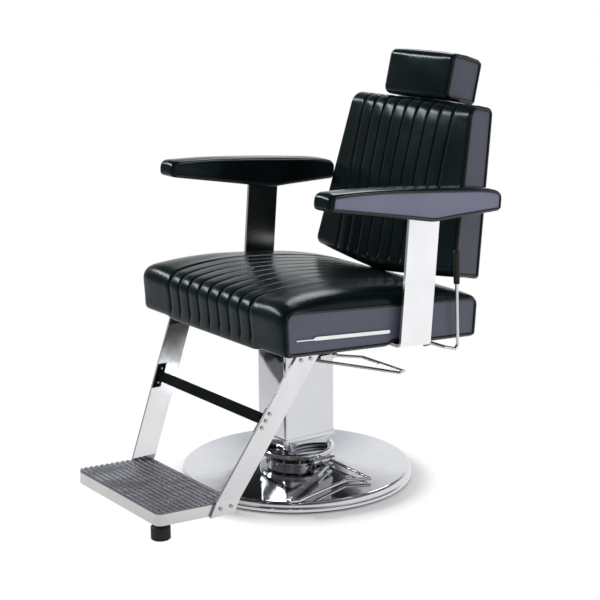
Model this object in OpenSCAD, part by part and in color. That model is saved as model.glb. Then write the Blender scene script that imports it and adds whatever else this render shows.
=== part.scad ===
// Hydraulic barber chair: round polished base, telescoping square column, swivelling seat with
// strap-carried arms, fixed footrest, reclining back and a headrest that slides in the back.
// Millimetres. The origin is on the floor at the centre of the base. The chair faces -Y, +Z is up,
// and +X is the sitter's left.

/* [Base] */
// Radius of the base disc
base_r = 280; // [265:1:300]
// Height of the base's rolled edge above the floor
rim_h = 30; // [26:1:34]
// Height of the dome where it meets the pump housing
dome_h = 44; // [40:1:48]
// Thickness of the polished base cover
cover_t = 2.5; // [1.5:0.5:4]
// Radius of the rolled edge
rim_roll = 9; // [6:1:11]
// Height of the rubber ring that the base stands on
floor_ring_h = 5; // [3:1:7]
// Width of the rubber floor ring
floor_ring_w = 20; // [12:1:28]
// Wall of the cast base dish
dish_t = 11; // [8:1:14]
// Radius of the boss in the middle of the dish
boss_r = 84; // [80:1:100]
// Number of ribs under the dish
dish_ribs = 6; // [4:1:10]
// Radius of a housing bolt
bolt_r = 4; // [3:0.5:5]
// Number of housing bolts
bolt_count = 6; // [3:1:8]

/* [Pump housing] */
// Outer radius of the housing at its foot
housing_r = 68; // [64:1:72]
// Outer radius of the housing at its top
housing_top_r = 76; // [72:1:80]
// Height of the housing's top face above the floor
housing_top_z = 62; // [58:1:66]
// Wall of the housing
housing_wall = 8; // [6:1:10]
// Number of fins round the housing
fin_count = 12; // [6:1:18]
// Outer radius of the flange ring on the housing
flange_r = 93; // [88:1:98]
// Height of the flange ring's rolled edge
flange_h = 17; // [12:1:20]
// Width of the reservoir cap, across the chair
cap_w = 104; // [96:1:106]
// Depth of the reservoir cap, front to back
cap_d = 130; // [120:1:134]
// Height of the reservoir cap
cap_h = 32; // [24:1:34]

/* [Hydraulics] */
// Outer radius of the lift cylinder
cyl_r = 40; // [37:1:43]
// Bore radius of the lift cylinder
cyl_bore_r = 32; // [29:1:34]
// Height of the cylinder's top above the floor
cyl_top_z = 290; // [280:1:300]
// Radius of the ram
ram_r = 22; // [18:1:25]
// Running clearance of the ram and the piston
run_gap = 0.05; // [0.02:0.01:0.1]
// Height of the piston
piston_h = 14; // [10:1:18]
// Radius of the pump plunger
plunger_r = 5; // [4:0.5:6]
// Radius of the pump's body
pump_r = 9; // [8:0.5:10]

/* [Column] */
// Width of the square column shroud
column_w = 116; // [112:1:122]
// Depth of the column shroud, front to back
column_d = 146; // [142:1:152]
// Wall of the shroud
column_wall = 2; // [1.5:0.5:3]
// Height of the shroud's lower lip above the floor
column_lip_z = 105; // [100:1:112]
// Height of the rolled lip
column_lip_h = 9; // [6:1:14]

/* [Seat] */
// Height of the seat's reference line above the floor
seat_z = 400; // [396:1:403]
// Tilt of the seat, front edge up, in degrees
seat_tilt = 4.5; // [3:0.5:6]
// Half of the seat's width
seat_hw = 298.5; // [285:0.5:303]
// Front edge of the seat cushion
seat_front = -238; // [-250:1:-225]
// Rear edge of the seat cushion
seat_rear = 305; // [295:1:309]
// Underside of the cushion below the reference line
seat_under = 12.5; // [10:0.5:15]
// Top of the cushion's side panels above the reference line
seat_top = 83; // [76:1:86]
// How far the top swells above its side panels
seat_crown = 35; // [25:1:40]
// How far the front swells forward in the middle
seat_bow = 15; // [8:1:20]
// Radius of the cushion's front and rear edges
seat_edge_r = 22; // [16:1:26]
// Distance between two sewn seams
seam_pitch = 42; // [36:1:48]
// Depth of a sewn seam
seam_depth = 5; // [3:0.5:7]
// Thickness of the seat board
board_t = 10; // [8:1:14]
// How far the seat board is set in from the cushion's edges
board_inset = 20; // [14:1:40]

/* [Seat frame] */
// Half the distance between the frame's side plates, to their inner faces
web_x = 88; // [84:1:94]
// Thickness of a side plate
web_t = 8; // [6:1:10]
// Thickness of the cross plate under the arm straps
cross_t = 6; // [5:1:8]
// Side of the square cross tubes
tube_w = 25; // [20:1:28]

/* [Arms] */
// Gap between the seat's side and an arm strap
strap_gap = 14.5; // [10:0.5:20]
// Thickness of an arm strap
strap_t = 7; // [5:0.5:8]
// Front edge of the arm straps
strap_front = 63; // [50:1:80]
// Width of an arm strap
strap_w = 89; // [80:1:96]
// Outer bend radius at the foot of a strap
strap_bend_r = 14; // [12:1:18]
// Half of an arm pad's width
arm_hw = 31; // [26:1:34]
// Front end of the arm pads
arm_front = -186; // [-200:1:-160]
// Rear end of the arm pads
arm_rear = 316; // [295:1:330]
// Top of an arm pad above the reference line
arm_top = 337; // [325:1:350]
// How far the top of an arm pad swells in the middle of its length
arm_crown = 7; // [3:0.5:10]
// Depth of an arm pad at its front end
arm_front_d = 37; // [30:1:42]
// Depth of an arm pad at its rear end
arm_rear_d = 38; // [30:1:44]
// Depth of an arm pad at its lowest point, over the strap
arm_deep_d = 66; // [58:1:74]

/* [Footrest] */
// Half of the foot plate's width
foot_hw = 181; // [170:1:190]
// Front edge of the foot plate
foot_front = -504; // [-515:1:-490]
// Depth of the foot plate, front to back
foot_d = 197; // [180:1:200]
// Height of the foot plate's front edge above the floor
foot_top_z = 70; // [66:1:80]
// Fall of the foot plate towards the rear, in degrees
foot_fall = 3.1; // [0:0.1:4]
// Height of the foot plate's rim
foot_rim_h = 32; // [26:1:34]
// Wall of the foot plate
foot_wall = 3; // [2:0.5:4]
// Number of ribs on the tread
tread_ribs = 14; // [10:1:16]
// Height of a tread rib
tread_rib_h = 2.5; // [1.5:0.5:3]
// Thickness of a footrest stay
stay_t = 6; // [5:0.5:8]
// Width of a stay, front to back
stay_w = 64; // [56:1:70]
// Outward lean of the stays, in degrees
stay_splay = 13.2; // [12:0.1:14]
// Backward slope of the stays, in degrees
stay_slope = 26.6; // [26:0.1:27.2]
// Place of the crossbar along the stays
crossbar_at = 0.6; // [0.5:0.01:0.68]
// Width of the crossbar
crossbar_w = 25; // [18:1:30]
// Radius of the rubber foot
foot_rubber_r = 22; // [18:1:24]
// Height of the rubber foot
foot_rubber_h = 31; // [26:1:33]

/* [Back] */
// Backward lean of the upright back, in degrees
back_lean = 13.2; // [11:0.1:15]
// Lower front edge of the back, measured from the middle of the chair
back_y = 259.4; // [256:0.1:265]
// Height of the back's lower front edge above the floor
back_z = 507.5; // [505:0.5:516]
// Height of the back along its lean
back_h = 404; // [380:1:408]
// Half of the back's width at its foot
back_foot_hw = 268; // [255:1:275]
// Half of the back's width at its top
back_top_hw = 221; // [205:1:232]
// Thickness of the back at its foot
back_foot_t = 84; // [80:1:88]
// Thickness of the back at its top
back_top_t = 71; // [70:1:76]
// Thickness of the back's front cushion
back_pad_t = 52; // [48:1:52]
// How far the front of the back swells
back_crown = 15; // [6:1:18]
// How far the front cushion hangs down in the middle of its foot
back_sag = 22; // [10:1:24]
// Radius of the rolled top edge at the sides of the back
back_roll = 32; // [24:1:36]
// Wall of the back's rear shell
shell_wall = 4; // [3:0.5:5]
// Distance of the recline pins behind the seat's middle
pivot_y = 332; // [330:1:336]
// Height of the recline pins above the floor
pivot_z = 452; // [449:1:456]
// Radius of the recline pins
pivot_r = 8; // [6:0.5:9]
// Length of the crank that drives the recline lock
crank_len = 111; // [109:1:113]
// Largest recline from upright, in degrees
recline_max = 45; // [30:1:45]

/* [Headrest] */
// Half of the headrest's width
head_hw = 117; // [100:0.5:125]
// Gap between the back's top and the headrest, along the lean
head_gap = 3; // [1:0.5:10]
// Height of the headrest
head_h = 114; // [100:1:120]
// Front face of the headrest behind the back's front face
head_front = 20; // [14:1:24]
// Thickness of the headrest, front to back
head_t = 91; // [82:1:96]
// Width of the headrest bar
bar_w = 40; // [30:1:44]
// Thickness of the headrest bar
bar_t = 6; // [5:0.5:7]

/* [Levers] */
// Radius of the recline lever's rod
lever_r = 4; // [3:0.5:5]
// Radius of the lever's grip
grip_r = 8; // [7:0.5:9]
// Length of the lever's grip
grip_len = 82; // [60:1:90]
// Radius of the swivel lock handle's rod
handle_r = 3.5; // [3:0.5:4]
// Radius of the pump pedal's rod
pedal_r = 4; // [3:0.5:4.5]
// Radius of the pump pedal's sleeve
sleeve_r = 7; // [6:0.5:8]

/* [Hidden] */
$fn = 64;

gap = 0.3;              // clearance between neighbouring pieces
eps = 0.01;             // overlap of two cuts

// Colours
chrome = "silver";
steel = "gray";
painted = [0.12, 0.12, 0.13];
leather = [0.07, 0.08, 0.09];
rubber = [0.05, 0.05, 0.05];
bronze = [0.7, 0.5, 0.25];
alloy = [0.72, 0.73, 0.76];
timber = [0.6, 0.45, 0.3];

// ---- base ----
neck_r = housing_r + gap;
rim_top_r = base_r - rim_roll;
dome_fall = (dome_h - rim_h) / (rim_top_r - neck_r);
groove_z = rim_h / 2;
groove_d = 3;
skirt_z = floor_ring_h + 1;
dish_r = base_r - groove_d - cover_t - gap;
boss_top = dome_h - cover_t - 7.5;
dish_rim_w = floor_ring_w + 6;
floor_ring_r = dish_r - 4;
bolt_pcd_r = housing_r - 18;
bolt_head_h = 4;
bolt_seat_z = boss_top - 12;

// ---- pump housing ----
housing_floor_z = boss_top + 8;
housing_bore_r = housing_r - housing_wall;
cap_z = housing_top_z + 6 + gap;
cap_top = cap_z + cap_h;
plug_r = 9;
plug_y = 52;

// ---- pedal ----
pedal_axis_x = 84;
pedal_axis_z = 53.5;
pedal_hub_r = 8;
pedal_pin_r = 4;
pedal_hub_y = [-8, 42];
ear_t = 6;
pump_x = 56;
pump_y = 17;
pump_low = 14;
finger_w = 10;
finger_t = 6;
plunger_top = pedal_axis_z - finger_t / 2 - gap;
plunger_len = 20;
plunger_travel = 10.2;
pump_top = plunger_top - plunger_travel - 0.5;
tread_front = [216, -175, 40];
tread_rear = [149, -45, 47];
pedal_loop = [[pedal_axis_x, 8, pedal_axis_z], [118, 5, 49], tread_rear, tread_front, [222, -183, 40],
    [232, -182, 40], [240, -166, 40], [205, -8, 42], [226, 50, 41], [pedal_axis_x, 36, pedal_axis_z]];

// ---- lift ----
cyl_floor = 6;
cyl_foot_z = housing_floor_z;
piston_z = cyl_foot_z + cyl_floor + gap;
piston_r = cyl_bore_r - run_gap;
seal_h = 4;
seal_d = 4;
gland_h = 16;
gland_spigot = 20;
gland_top = cyl_top_z + gland_h;
wiper_h = 4;
ram_shoulder_z = 338;
ram_shoulder_h = 8;
ram_shoulder_r = 30;
spindle_r = 16;
bearing_h = 5;
hub_z = ram_shoulder_z + ram_shoulder_h + bearing_h + gap;
hub_flange_h = 8;
hub_top = hub_z + 7 + hub_flange_h;
spindle_top = hub_top - 1;
hub_r = 34;
hub_flange_w = 2 * web_x - 20;
hub_bolt_r = 4;
hub_bolt_y = 48;

// ---- seat, heights from the tilted reference line ----
strap_x = seat_hw + strap_gap + strap_t;
under = -seat_under;
strap_leg_low = under - gap - strap_t;
frame_top = strap_leg_low - gap;
strap_leg_in = 150;
strap_top = 302;
strap_bolt_r = 4;
strap_bolt_x = [165, 190];
cross_half = 205;
saddle_t = 6;
tube_y = -176;
tube_half = 250;
rear_tube_y = 245;
web_low_z = 350;
riser_low_z = 336;
trim_y = [-217, 46];
trim_z = 13;
trim_w = 9;
seat_shoulder = 12;

// ---- arms ----
arm_x = strap_x - strap_t / 2;
core_hw = 16;
core_low = 286;
core_top = 316;

// ---- footrest ----
stay_bend_z = 62;
stay_low_z = 28;
stay_low_y = -372;
stay_top_s = 404;
end_plate_low = 366;
screw_r = 2.5;
top_screw_z = 385;
plate_screw_z = 45;
crossbar_z = stay_low_z + crossbar_at * (395 - stay_low_z);
crossbar_wz = stay_bend_z + (crossbar_z - stay_bend_z) * cos(stay_splay);
stay_cross_x = foot_hw + gap + (crossbar_z - stay_bend_z) * sin(stay_splay);
foot_at = [158, -484];
stem_r = 4;

// ---- levers and locks ----
lever_y = 185;
lever_z = 361;
lever_shaft_r = 5;
lever_bearing_x = [145, seat_hw - 30.5];
lever_up_x = strap_x - 8;
lever_bend = [[lever_bearing_x[1] + 12, lever_y, lever_z], [lever_up_x - 6, 206, 353],
    [lever_up_x, 233, 345], [lever_up_x, 241, 354], [lever_up_x, 235, 500]];
grip_axis = [0, -0.0349, 0.9994];
grip_low = lever_bend[4];
grip_high = grip_low + (grip_len - grip_r) * grip_axis;
lever_top = grip_high - 4 * grip_axis;
handle_x = 153;
handle_y = -32;
handle_z = 334;
handle_axle_r = handle_r + 2;
handle_half = 38;
handle_loop = [[handle_x, handle_y - 32, handle_z], [strap_x + 7, 54, 322], [strap_x + 2, 70, 322],
    [192, 54, 329], [handle_x, handle_y + 32, handle_z]];
lock_x = 111;
lock_y = [60, 230];
lock_r = 12;
lock_rod_r = 6;

// ---- back ----
arm_plate_x = web_x + web_t + 1;
arm_plate_t = 8;
bush_r = 11;
arm_front_n = back_pad_t + gap;
crank_swing = recline_max / 2;
crank_pin_r = 5;
knee_len = 90;
knee_swing = 50;
knee = [pivot_y + knee_len * sin(knee_swing), pivot_z - knee_len * cos(knee_swing)];
crank_pin_y = pivot_y + crank_len * sin(crank_swing);
crank_pin_z = pivot_z - crank_len * cos(crank_swing);
lock_z = pivot_z - crank_len * (1 + cos(crank_swing)) / 2;
slot_half = crank_len * (1 - cos(crank_swing)) / 2 + crank_pin_r + 1;
lock_rod_y = 158;
bar_n = 60;
bar_low = back_h - 154;
socket_low = back_h - 119;
head_low = back_h + head_gap;
cross_bar_u = [70, back_h - 154];
arm_plate_top = back_h - 74;
head_board_t = 8;
head_board_hw = 90;

// The seat's tilted frame of reference
module seat_pose() {
    translate([0, 0, seat_z]) rotate([-seat_tilt, 0, 0]) children();
}

// The back's leaning frame of reference: X across, Y towards the rear, Z up the back
module back_pose() {
    translate([0, back_y, back_z]) rotate([-back_lean, 0, 0]) children();
}

// The foot plate's frame of reference, at the middle of its top front edge
module foot_pose() {
    translate([0, foot_front, foot_top_z]) rotate([-foot_fall, 0, 0]) children();
}

// A height on the seat's underside line at a given distance from the middle, above the floor
function seat_line_z(y, h) = seat_z + h * cos(seat_tilt) - y * sin(seat_tilt);

// A plate whose outline is drawn in Y and Z
module side_plate(x, t) {
    translate([x, 0, 0]) rotate([90, 0, 90]) linear_extrude(t) children();
}

// A pin or tube along X
module pin_x(x0, x1, y, z, r) {
    translate([x0, y, z]) rotate([0, 90, 0]) cylinder(h = x1 - x0, r = r);
}

// A bar along Y
module pin_y(y0, y1, x, z, r) {
    translate([x, y0, z]) rotate([-90, 0, 0]) cylinder(h = y1 - y0, r = r);
}

// A straight round bar between two points
module bar_between(a, b, r) {
    d = b - a;
    translate(a) rotate([0, acos(d[2] / norm(d)), atan2(d[1], d[0])]) cylinder(h = norm(d), r = r);
}

// A rounded corner between two rods, one coming in along a and one leaving along b
module elbow(corner, a, b, r) {
    x = (a - b) / norm(a - b);
    w = cross(a, b) / norm(cross(a, b));
    y = cross(w, x);
    multmatrix([for (k = [0:2]) [x[k], y[k], w[k], corner[k]]]) sphere(r = r);
}

// A bent round rod through a list of points
module bent_rod(points, r) {
    n = len(points);
    d = [for (i = [0:n - 2]) (points[i + 1] - points[i]) / norm(points[i + 1] - points[i])];
    for (i = [0:n - 2])
        bar_between(points[i], points[i + 1], r);
    for (i = [1:n - 2])
        elbow(points[i], d[i - 1], d[i], r + 0.1);
}

// A flat ring
module ring(r_out, r_in, h) {
    difference() {
        cylinder(h = h, r = r_out);
        translate([0, 0, -eps]) cylinder(h = h + 2 * eps, r = r_in);
    }
}

// A rectangle with rounded corners, centred
module rounded_rect(w, d, r) {
    for (a = [0, 90])
        square(a == 0 ? [w - 2 * r, d] : [w, d - 2 * r], center = true);
    for (x = [-1, 1], y = [-1, 1])
        translate([x * (w / 2 - r), y * (d / 2 - r)]) circle(r = r);
}

module both_sides() {
    children();
    mirror([1, 0, 0]) children();
}

// Points on an arc in a plane
function arc(cx, cy, r, a0, a1, n) =
    [for (i = [0:n]) let (a = a0 + (a1 - a0) * i / n) [cx + r * cos(a), cy + r * sin(a)]];

// A closed body through a row of sections that all have the same number of points
module loft(sections) {
    n = len(sections);
    m = len(sections[0]);
    function mean(s) = [for (k = [0:2]) [for (p = s) p[k]] * [for (p = s) 1 / len(s)]];
    points = concat([for (s = sections) each s], [mean(sections[0]), mean(sections[n - 1])]);
    faces = concat(
        [for (i = [0:n - 2], j = [0:m - 1]) let (k = (j + 1) % m) [i * m + j, i * m + k, i * m + m + j]],
        [for (i = [0:n - 2], j = [0:m - 1]) let (k = (j + 1) % m) [i * m + k, i * m + m + k, i * m + m + j]],
        [for (j = [0:m - 1]) [n * m, (j + 1) % m, j]],
        [for (j = [0:m - 1]) [n * m + 1, n * m - m + j, n * m - m + (j + 1) % m]]
    );
    polyhedron(points = points, faces = faces);
}

// How deep the sewn seams pull the leather in at a distance from the middle
seam_last = 4 * seam_pitch;
seam_side = 6;
function seam_pull(x) = abs(x) > seam_last + seam_side + eps ? 0
    : seam_depth * pow(1 - abs(sin(180 * x / seam_pitch)), 1.5);

// Stations across a channelled cushion, from one side to the other
seam_stations = concat(
    [-seam_last - seam_side],
    [for (k = [-4:3], s = [0, seam_side, seam_pitch / 2, seam_pitch - seam_side]) k * seam_pitch + s],
    [seam_last, seam_last + seam_side]
);

// ======== base ========

module base_cover() {
    roll_z = rim_h - rim_roll;
    outer = concat(
        [[neck_r, dome_h]],
        arc(rim_top_r, roll_z, rim_roll, 90, 0, 8),
        [[base_r, groove_z + groove_d], [base_r - groove_d, groove_z], [base_r, groove_z - groove_d]],
        [[base_r, skirt_z]]
    );
    inner = concat(
        [[base_r - cover_t, skirt_z], [base_r - cover_t, groove_z - groove_d - 1]],
        [[base_r - groove_d - cover_t, groove_z], [base_r - cover_t, groove_z + groove_d + 1]],
        arc(rim_top_r, roll_z, rim_roll - cover_t, 0, 90, 8),
        [[neck_r, dome_h - cover_t]]
    );
    color(chrome) rotate_extrude() polygon(concat(outer, inner));
}

// Underside of the dish and its seat against the cover
function dish_top(r) = dome_h - cover_t - gap - (r - neck_r) * dome_fall;

module base_plate() {
    rim_in = dish_r - dish_rim_w;
    edge_r = dish_r - rim_roll;
    color(painted) difference() {
        union() {
            rotate_extrude() polygon([
                [0, floor_ring_h], [boss_r, floor_ring_h], [boss_r + 6, dish_top(boss_r + 6) - dish_t],
                [rim_in - 4, dish_top(rim_in - 4) - dish_t], [rim_in, floor_ring_h],
                [dish_r, floor_ring_h], [dish_r, rim_h - rim_roll - cover_t],
                [edge_r, dish_top(edge_r)], [boss_r, dish_top(boss_r)], [boss_r - 5, boss_top],
                [0, boss_top]
            ]);
            for (i = [0:dish_ribs - 1])
                rotate(360 * i / dish_ribs) translate([boss_r - 6, -4, floor_ring_h + 1])
                    cube([rim_in - boss_r + 10, 8, dish_top(rim_in) - dish_t + 1 - floor_ring_h]);
        }
        translate([0, 0, -eps]) cylinder(h = bolt_seat_z, r = boss_r - 14);
        translate([pump_x, pump_y, 0]) cylinder(h = boss_top + 1, r = pump_r + gap);
        for (i = [0:bolt_count - 1])
            rotate(360 * i / bolt_count) translate([bolt_pcd_r, 0, 0])
                cylinder(h = boss_top + 1, r = bolt_r + gap / 2);
    }
}

module floor_ring() {
    color(rubber) difference() {
        cylinder(h = floor_ring_h, r = floor_ring_r);
        translate([0, 0, -eps]) cylinder(h = floor_ring_h + 2 * eps, r = floor_ring_r - floor_ring_w);
    }
}

module housing_bolts() {
    color(steel) for (i = [0:bolt_count - 1])
        rotate(360 * i / bolt_count) translate([bolt_pcd_r, 0, 0]) {
            translate([0, 0, bolt_seat_z - gap])
                cylinder(h = housing_floor_z - bolt_seat_z + 2 * gap, r = bolt_r);
            translate([0, 0, housing_floor_z + gap]) cylinder(h = bolt_head_h, r = bolt_r * 1.6, $fn = 6);
            translate([0, 0, bolt_seat_z - gap - bolt_head_h])
                cylinder(h = bolt_head_h, r = bolt_r * 1.6, $fn = 6);
        }
}

// Middle of the housing's wall at a distance in front of or behind its axis
function wall_x(y) = sqrt(pow(housing_bore_r + 2, 2) - y * y);

module pump_housing() {
    ear_r = 8.5;
    ear_y = [pedal_hub_y[0] - gap - ear_t, pedal_hub_y[1] + gap];
    color(chrome) difference() {
        union() {
            difference() {
                rotate_extrude() polygon([
                    [0, boss_top], [housing_r, boss_top], [housing_r, dome_h + 3],
                    [housing_top_r, housing_top_z], [0, housing_top_z]
                ]);
                translate([0, 0, housing_floor_z]) cylinder(h = housing_top_z, r = housing_bore_r);
            }
            for (i = [0:fin_count - 1])
                rotate(360 * i / fin_count) translate([housing_r - 4, -2, dome_h + 1])
                    cube([housing_top_r - housing_r + 3, 4, housing_top_z - dome_h - 2]);
            for (y = ear_y) {
                pin_y(y, y + ear_t, pedal_axis_x, pedal_axis_z, ear_r);
                translate([wall_x(max(abs(y), abs(y + ear_t))), y, pedal_axis_z - 4])
                    cube([pedal_axis_x - wall_x(max(abs(y), abs(y + ear_t))), ear_t, 8]);
            }
        }
        pin_y(ear_y[0] - 1, ear_y[1] + ear_t + 1, pedal_axis_x, pedal_axis_z, pedal_pin_r + run_gap);
        translate([housing_bore_r - 12, pump_y - finger_w / 2 - 2, housing_floor_z + 0.5])
            cube([40, finger_w + 4, housing_top_z - housing_floor_z - 4]);
        for (i = [0:bolt_count - 1])
            rotate(360 * i / bolt_count) translate([bolt_pcd_r, 0, boss_top - 1])
                cylinder(h = 12, r = bolt_r + gap / 2);
        translate([pump_x, pump_y, boss_top - 1]) cylinder(h = 30, r = pump_r + gap);
    }
}

module flange_ring() {
    plate_h = 6;
    bead_r = 5;
    z = housing_top_z;
    color(chrome) rotate_extrude() polygon(concat(
        [[cyl_r + 1, z], [flange_r - bead_r, z]],
        arc(flange_r - bead_r, z + bead_r, bead_r, -90, 0, 5),
        arc(flange_r - bead_r, z + flange_h - bead_r, bead_r, 0, 180, 8),
        [[flange_r - 2 * bead_r, z + plate_h + 2], [flange_r - 2 * bead_r - 2, z + plate_h]],
        [[cyl_r + 1, z + plate_h]]
    ));
}

module reservoir_cap() {
    color(chrome) difference() {
        translate([0, 0, cap_z]) linear_extrude(cap_h) rounded_rect(cap_w, cap_d, 16);
        translate([0, 0, cap_z - 1]) cylinder(h = cap_h + 2, r = cyl_r + gap);
        translate([0, -plug_y, cap_top - 10]) cylinder(h = 11, r = plug_r / 2 + gap);
    }
}

module filler_plug() {
    color(steel) {
        translate([0, -plug_y, cap_top + gap / 2]) cylinder(h = 3, r = plug_r, $fn = 6);
        translate([0, -plug_y, cap_top - 9]) cylinder(h = 10, r = plug_r / 2);
    }
}

module lift_cylinder() {
    color(steel) difference() {
        translate([0, 0, cyl_foot_z]) cylinder(h = cyl_top_z - cyl_foot_z, r = cyl_r);
        translate([0, 0, cyl_foot_z + cyl_floor]) cylinder(h = cyl_top_z, r = cyl_bore_r);
    }
}

module cylinder_gland() {
    color(bronze) difference() {
        union() {
            translate([0, 0, cyl_top_z]) cylinder(h = gland_h, r = cyl_r);
            translate([0, 0, cyl_top_z - gland_spigot])
                cylinder(h = gland_spigot + eps, r = cyl_bore_r - gap);
        }
        translate([0, 0, cyl_top_z - gland_spigot - 1])
            cylinder(h = gland_h + gland_spigot + 2, r = ram_r + run_gap);
    }
}

module ram_wiper() {
    color(rubber) translate([0, 0, gland_top]) ring(ram_r + 7, ram_r + gap, wiper_h);
}

module pump_body() {
    color(steel) difference() {
        translate([pump_x, pump_y, pump_low]) cylinder(h = pump_top - pump_low, r = pump_r);
        translate([pump_x, pump_y, pump_low + 2]) cylinder(h = pump_top, r = plunger_r + run_gap);
    }
}

module pedal_pin() {
    y0 = pedal_hub_y[0] - gap - ear_t - 3;
    y1 = pedal_hub_y[1] + gap + ear_t + 3;
    color(steel) {
        pin_y(y0, y1, pedal_axis_x, pedal_axis_z, pedal_pin_r);
        pin_y(y0, y0 + 2.5, pedal_axis_x, pedal_axis_z, pedal_pin_r + 2);
        pin_y(y1 - 2.5, y1, pedal_axis_x, pedal_axis_z, pedal_pin_r + 2);
    }
}

module pump_plunger() {
    color(steel) translate([pump_x, pump_y, plunger_top - plunger_len])
        cylinder(h = plunger_len, r = plunger_r);
}

module pump_pedal() {
    finger_in = pump_x - plunger_r + 2;
    color(chrome) difference() {
        union() {
            pin_y(pedal_hub_y[0], pedal_hub_y[1], pedal_axis_x, pedal_axis_z, pedal_hub_r);
            translate([finger_in, pump_y - finger_w / 2, pedal_axis_z - finger_t / 2])
                cube([pedal_axis_x - finger_in, finger_w, finger_t]);
            bent_rod(pedal_loop, pedal_r);
        }
        pin_y(pedal_hub_y[0] - 1, pedal_hub_y[1] + 1, pedal_axis_x, pedal_axis_z, pedal_pin_r + run_gap);
    }
}

module pedal_sleeve() {
    a = tread_rear + 0.06 * (tread_front - tread_rear);
    b = tread_front - 0.06 * (tread_front - tread_rear);
    color(rubber) difference() {
        bar_between(a, b, sleeve_r);
        bar_between(tread_rear, tread_front, pedal_r + gap);
    }
}

// ======== lift ========

module ram() {
    color(chrome) {
        translate([0, 0, piston_z]) cylinder(h = ram_shoulder_z + ram_shoulder_h - piston_z, r = ram_r);
        translate([0, 0, ram_shoulder_z]) cylinder(h = ram_shoulder_h, r = ram_shoulder_r);
        translate([0, 0, ram_shoulder_z]) cylinder(h = spindle_top - ram_shoulder_z, r = spindle_r);
    }
}

module piston() {
    color(bronze) translate([0, 0, piston_z]) difference() {
        ring(piston_r, ram_r + run_gap, piston_h);
        translate([0, 0, (piston_h - seal_h) / 2]) ring(piston_r + 1, piston_r - seal_d, seal_h);
    }
}

module piston_seal() {
    color(rubber) translate([0, 0, piston_z + (piston_h - seal_h) / 2 + gap / 2])
        ring(piston_r, piston_r - seal_d + gap, seal_h - gap);
}

module thrust_bearing() {
    color(steel) translate([0, 0, ram_shoulder_z + ram_shoulder_h])
        ring(ram_shoulder_r, spindle_r + gap, bearing_h);
}

// ======== swivelling seat ========

module swivel_hub() {
    color(painted) difference() {
        union() {
            translate([0, 0, hub_z]) cylinder(h = hub_top - hub_z, r = hub_r);
            translate([0, 0, hub_top - hub_flange_h]) linear_extrude(hub_flange_h)
                rounded_rect(hub_flange_w, hub_flange_w, 12);
        }
        translate([0, 0, hub_z - 1]) cylinder(h = hub_top, r = spindle_r + run_gap);
        for (x = [-1, 1], y = [-1, 1])
            translate([x * hub_bolt_y, y * hub_bolt_y, hub_z]) cylinder(h = 40, r = hub_bolt_r + gap / 2);
    }
}

module hub_bolts() {
    top = hub_top + gap + saddle_t + gap;
    low = hub_top - hub_flange_h - gap;
    color(steel) for (x = [-1, 1], y = [-1, 1])
        translate([x * hub_bolt_y, y * hub_bolt_y, 0]) {
            translate([0, 0, low - 3]) cylinder(h = top - low + 3, r = hub_bolt_r);
            translate([0, 0, top]) cylinder(h = 3.5, r = hub_bolt_r * 1.7, $fn = 6);
            translate([0, 0, low - 4]) cylinder(h = 4, r = hub_bolt_r * 1.7, $fn = 6);
        }
}

module column_shroud() {
    top = hub_top - hub_flange_h - gap;
    color(chrome) difference() {
        union() {
            translate([0, 0, column_lip_z]) linear_extrude(top - column_lip_z)
                rounded_rect(column_w, column_d, 7);
            translate([0, 0, column_lip_z]) linear_extrude(column_lip_h)
                rounded_rect(column_w + 5, column_d + 5, 9);
        }
        translate([0, 0, column_lip_z - 1]) linear_extrude(top)
            rounded_rect(column_w - 2 * column_wall, column_d - 2 * column_wall, 5);
    }
}

// Outline of a frame side plate, with the riser that carries the back
module web_outline() {
    riser_r = 16;
    front_y = tube_y + tube_w - 2;
    difference() {
        union() {
            polygon([
                [front_y, seat_line_z(front_y, frame_top)], [front_y, seat_line_z(front_y, frame_top) - 18],
                [-hub_flange_w / 2, web_low_z], [hub_flange_w, web_low_z],
                [pivot_y + riser_r - 30, riser_low_z], [pivot_y + riser_r, riser_low_z + 14],
                [pivot_y + riser_r, pivot_z], [pivot_y - riser_r, pivot_z],
                [pivot_y - riser_r, seat_line_z(seat_rear, frame_top)],
                [seat_rear, seat_line_z(seat_rear, frame_top)]
            ]);
            translate([pivot_y, pivot_z]) circle(r = riser_r);
        }
        translate([pivot_y, pivot_z]) circle(r = pivot_r + run_gap);
    }
}

// Everything that is placed on a stay's slanting plane: its inner face is at x = 0
module stay_plane() {
    translate([foot_hw + gap, 0, stay_bend_z]) rotate([0, stay_splay, 0]) translate([0, 0, -stay_bend_z])
        children();
}

// Front edge of a stay at a height
function stay_edge(z) = stay_low_y + (z - stay_low_z) * tan(stay_slope);

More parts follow.
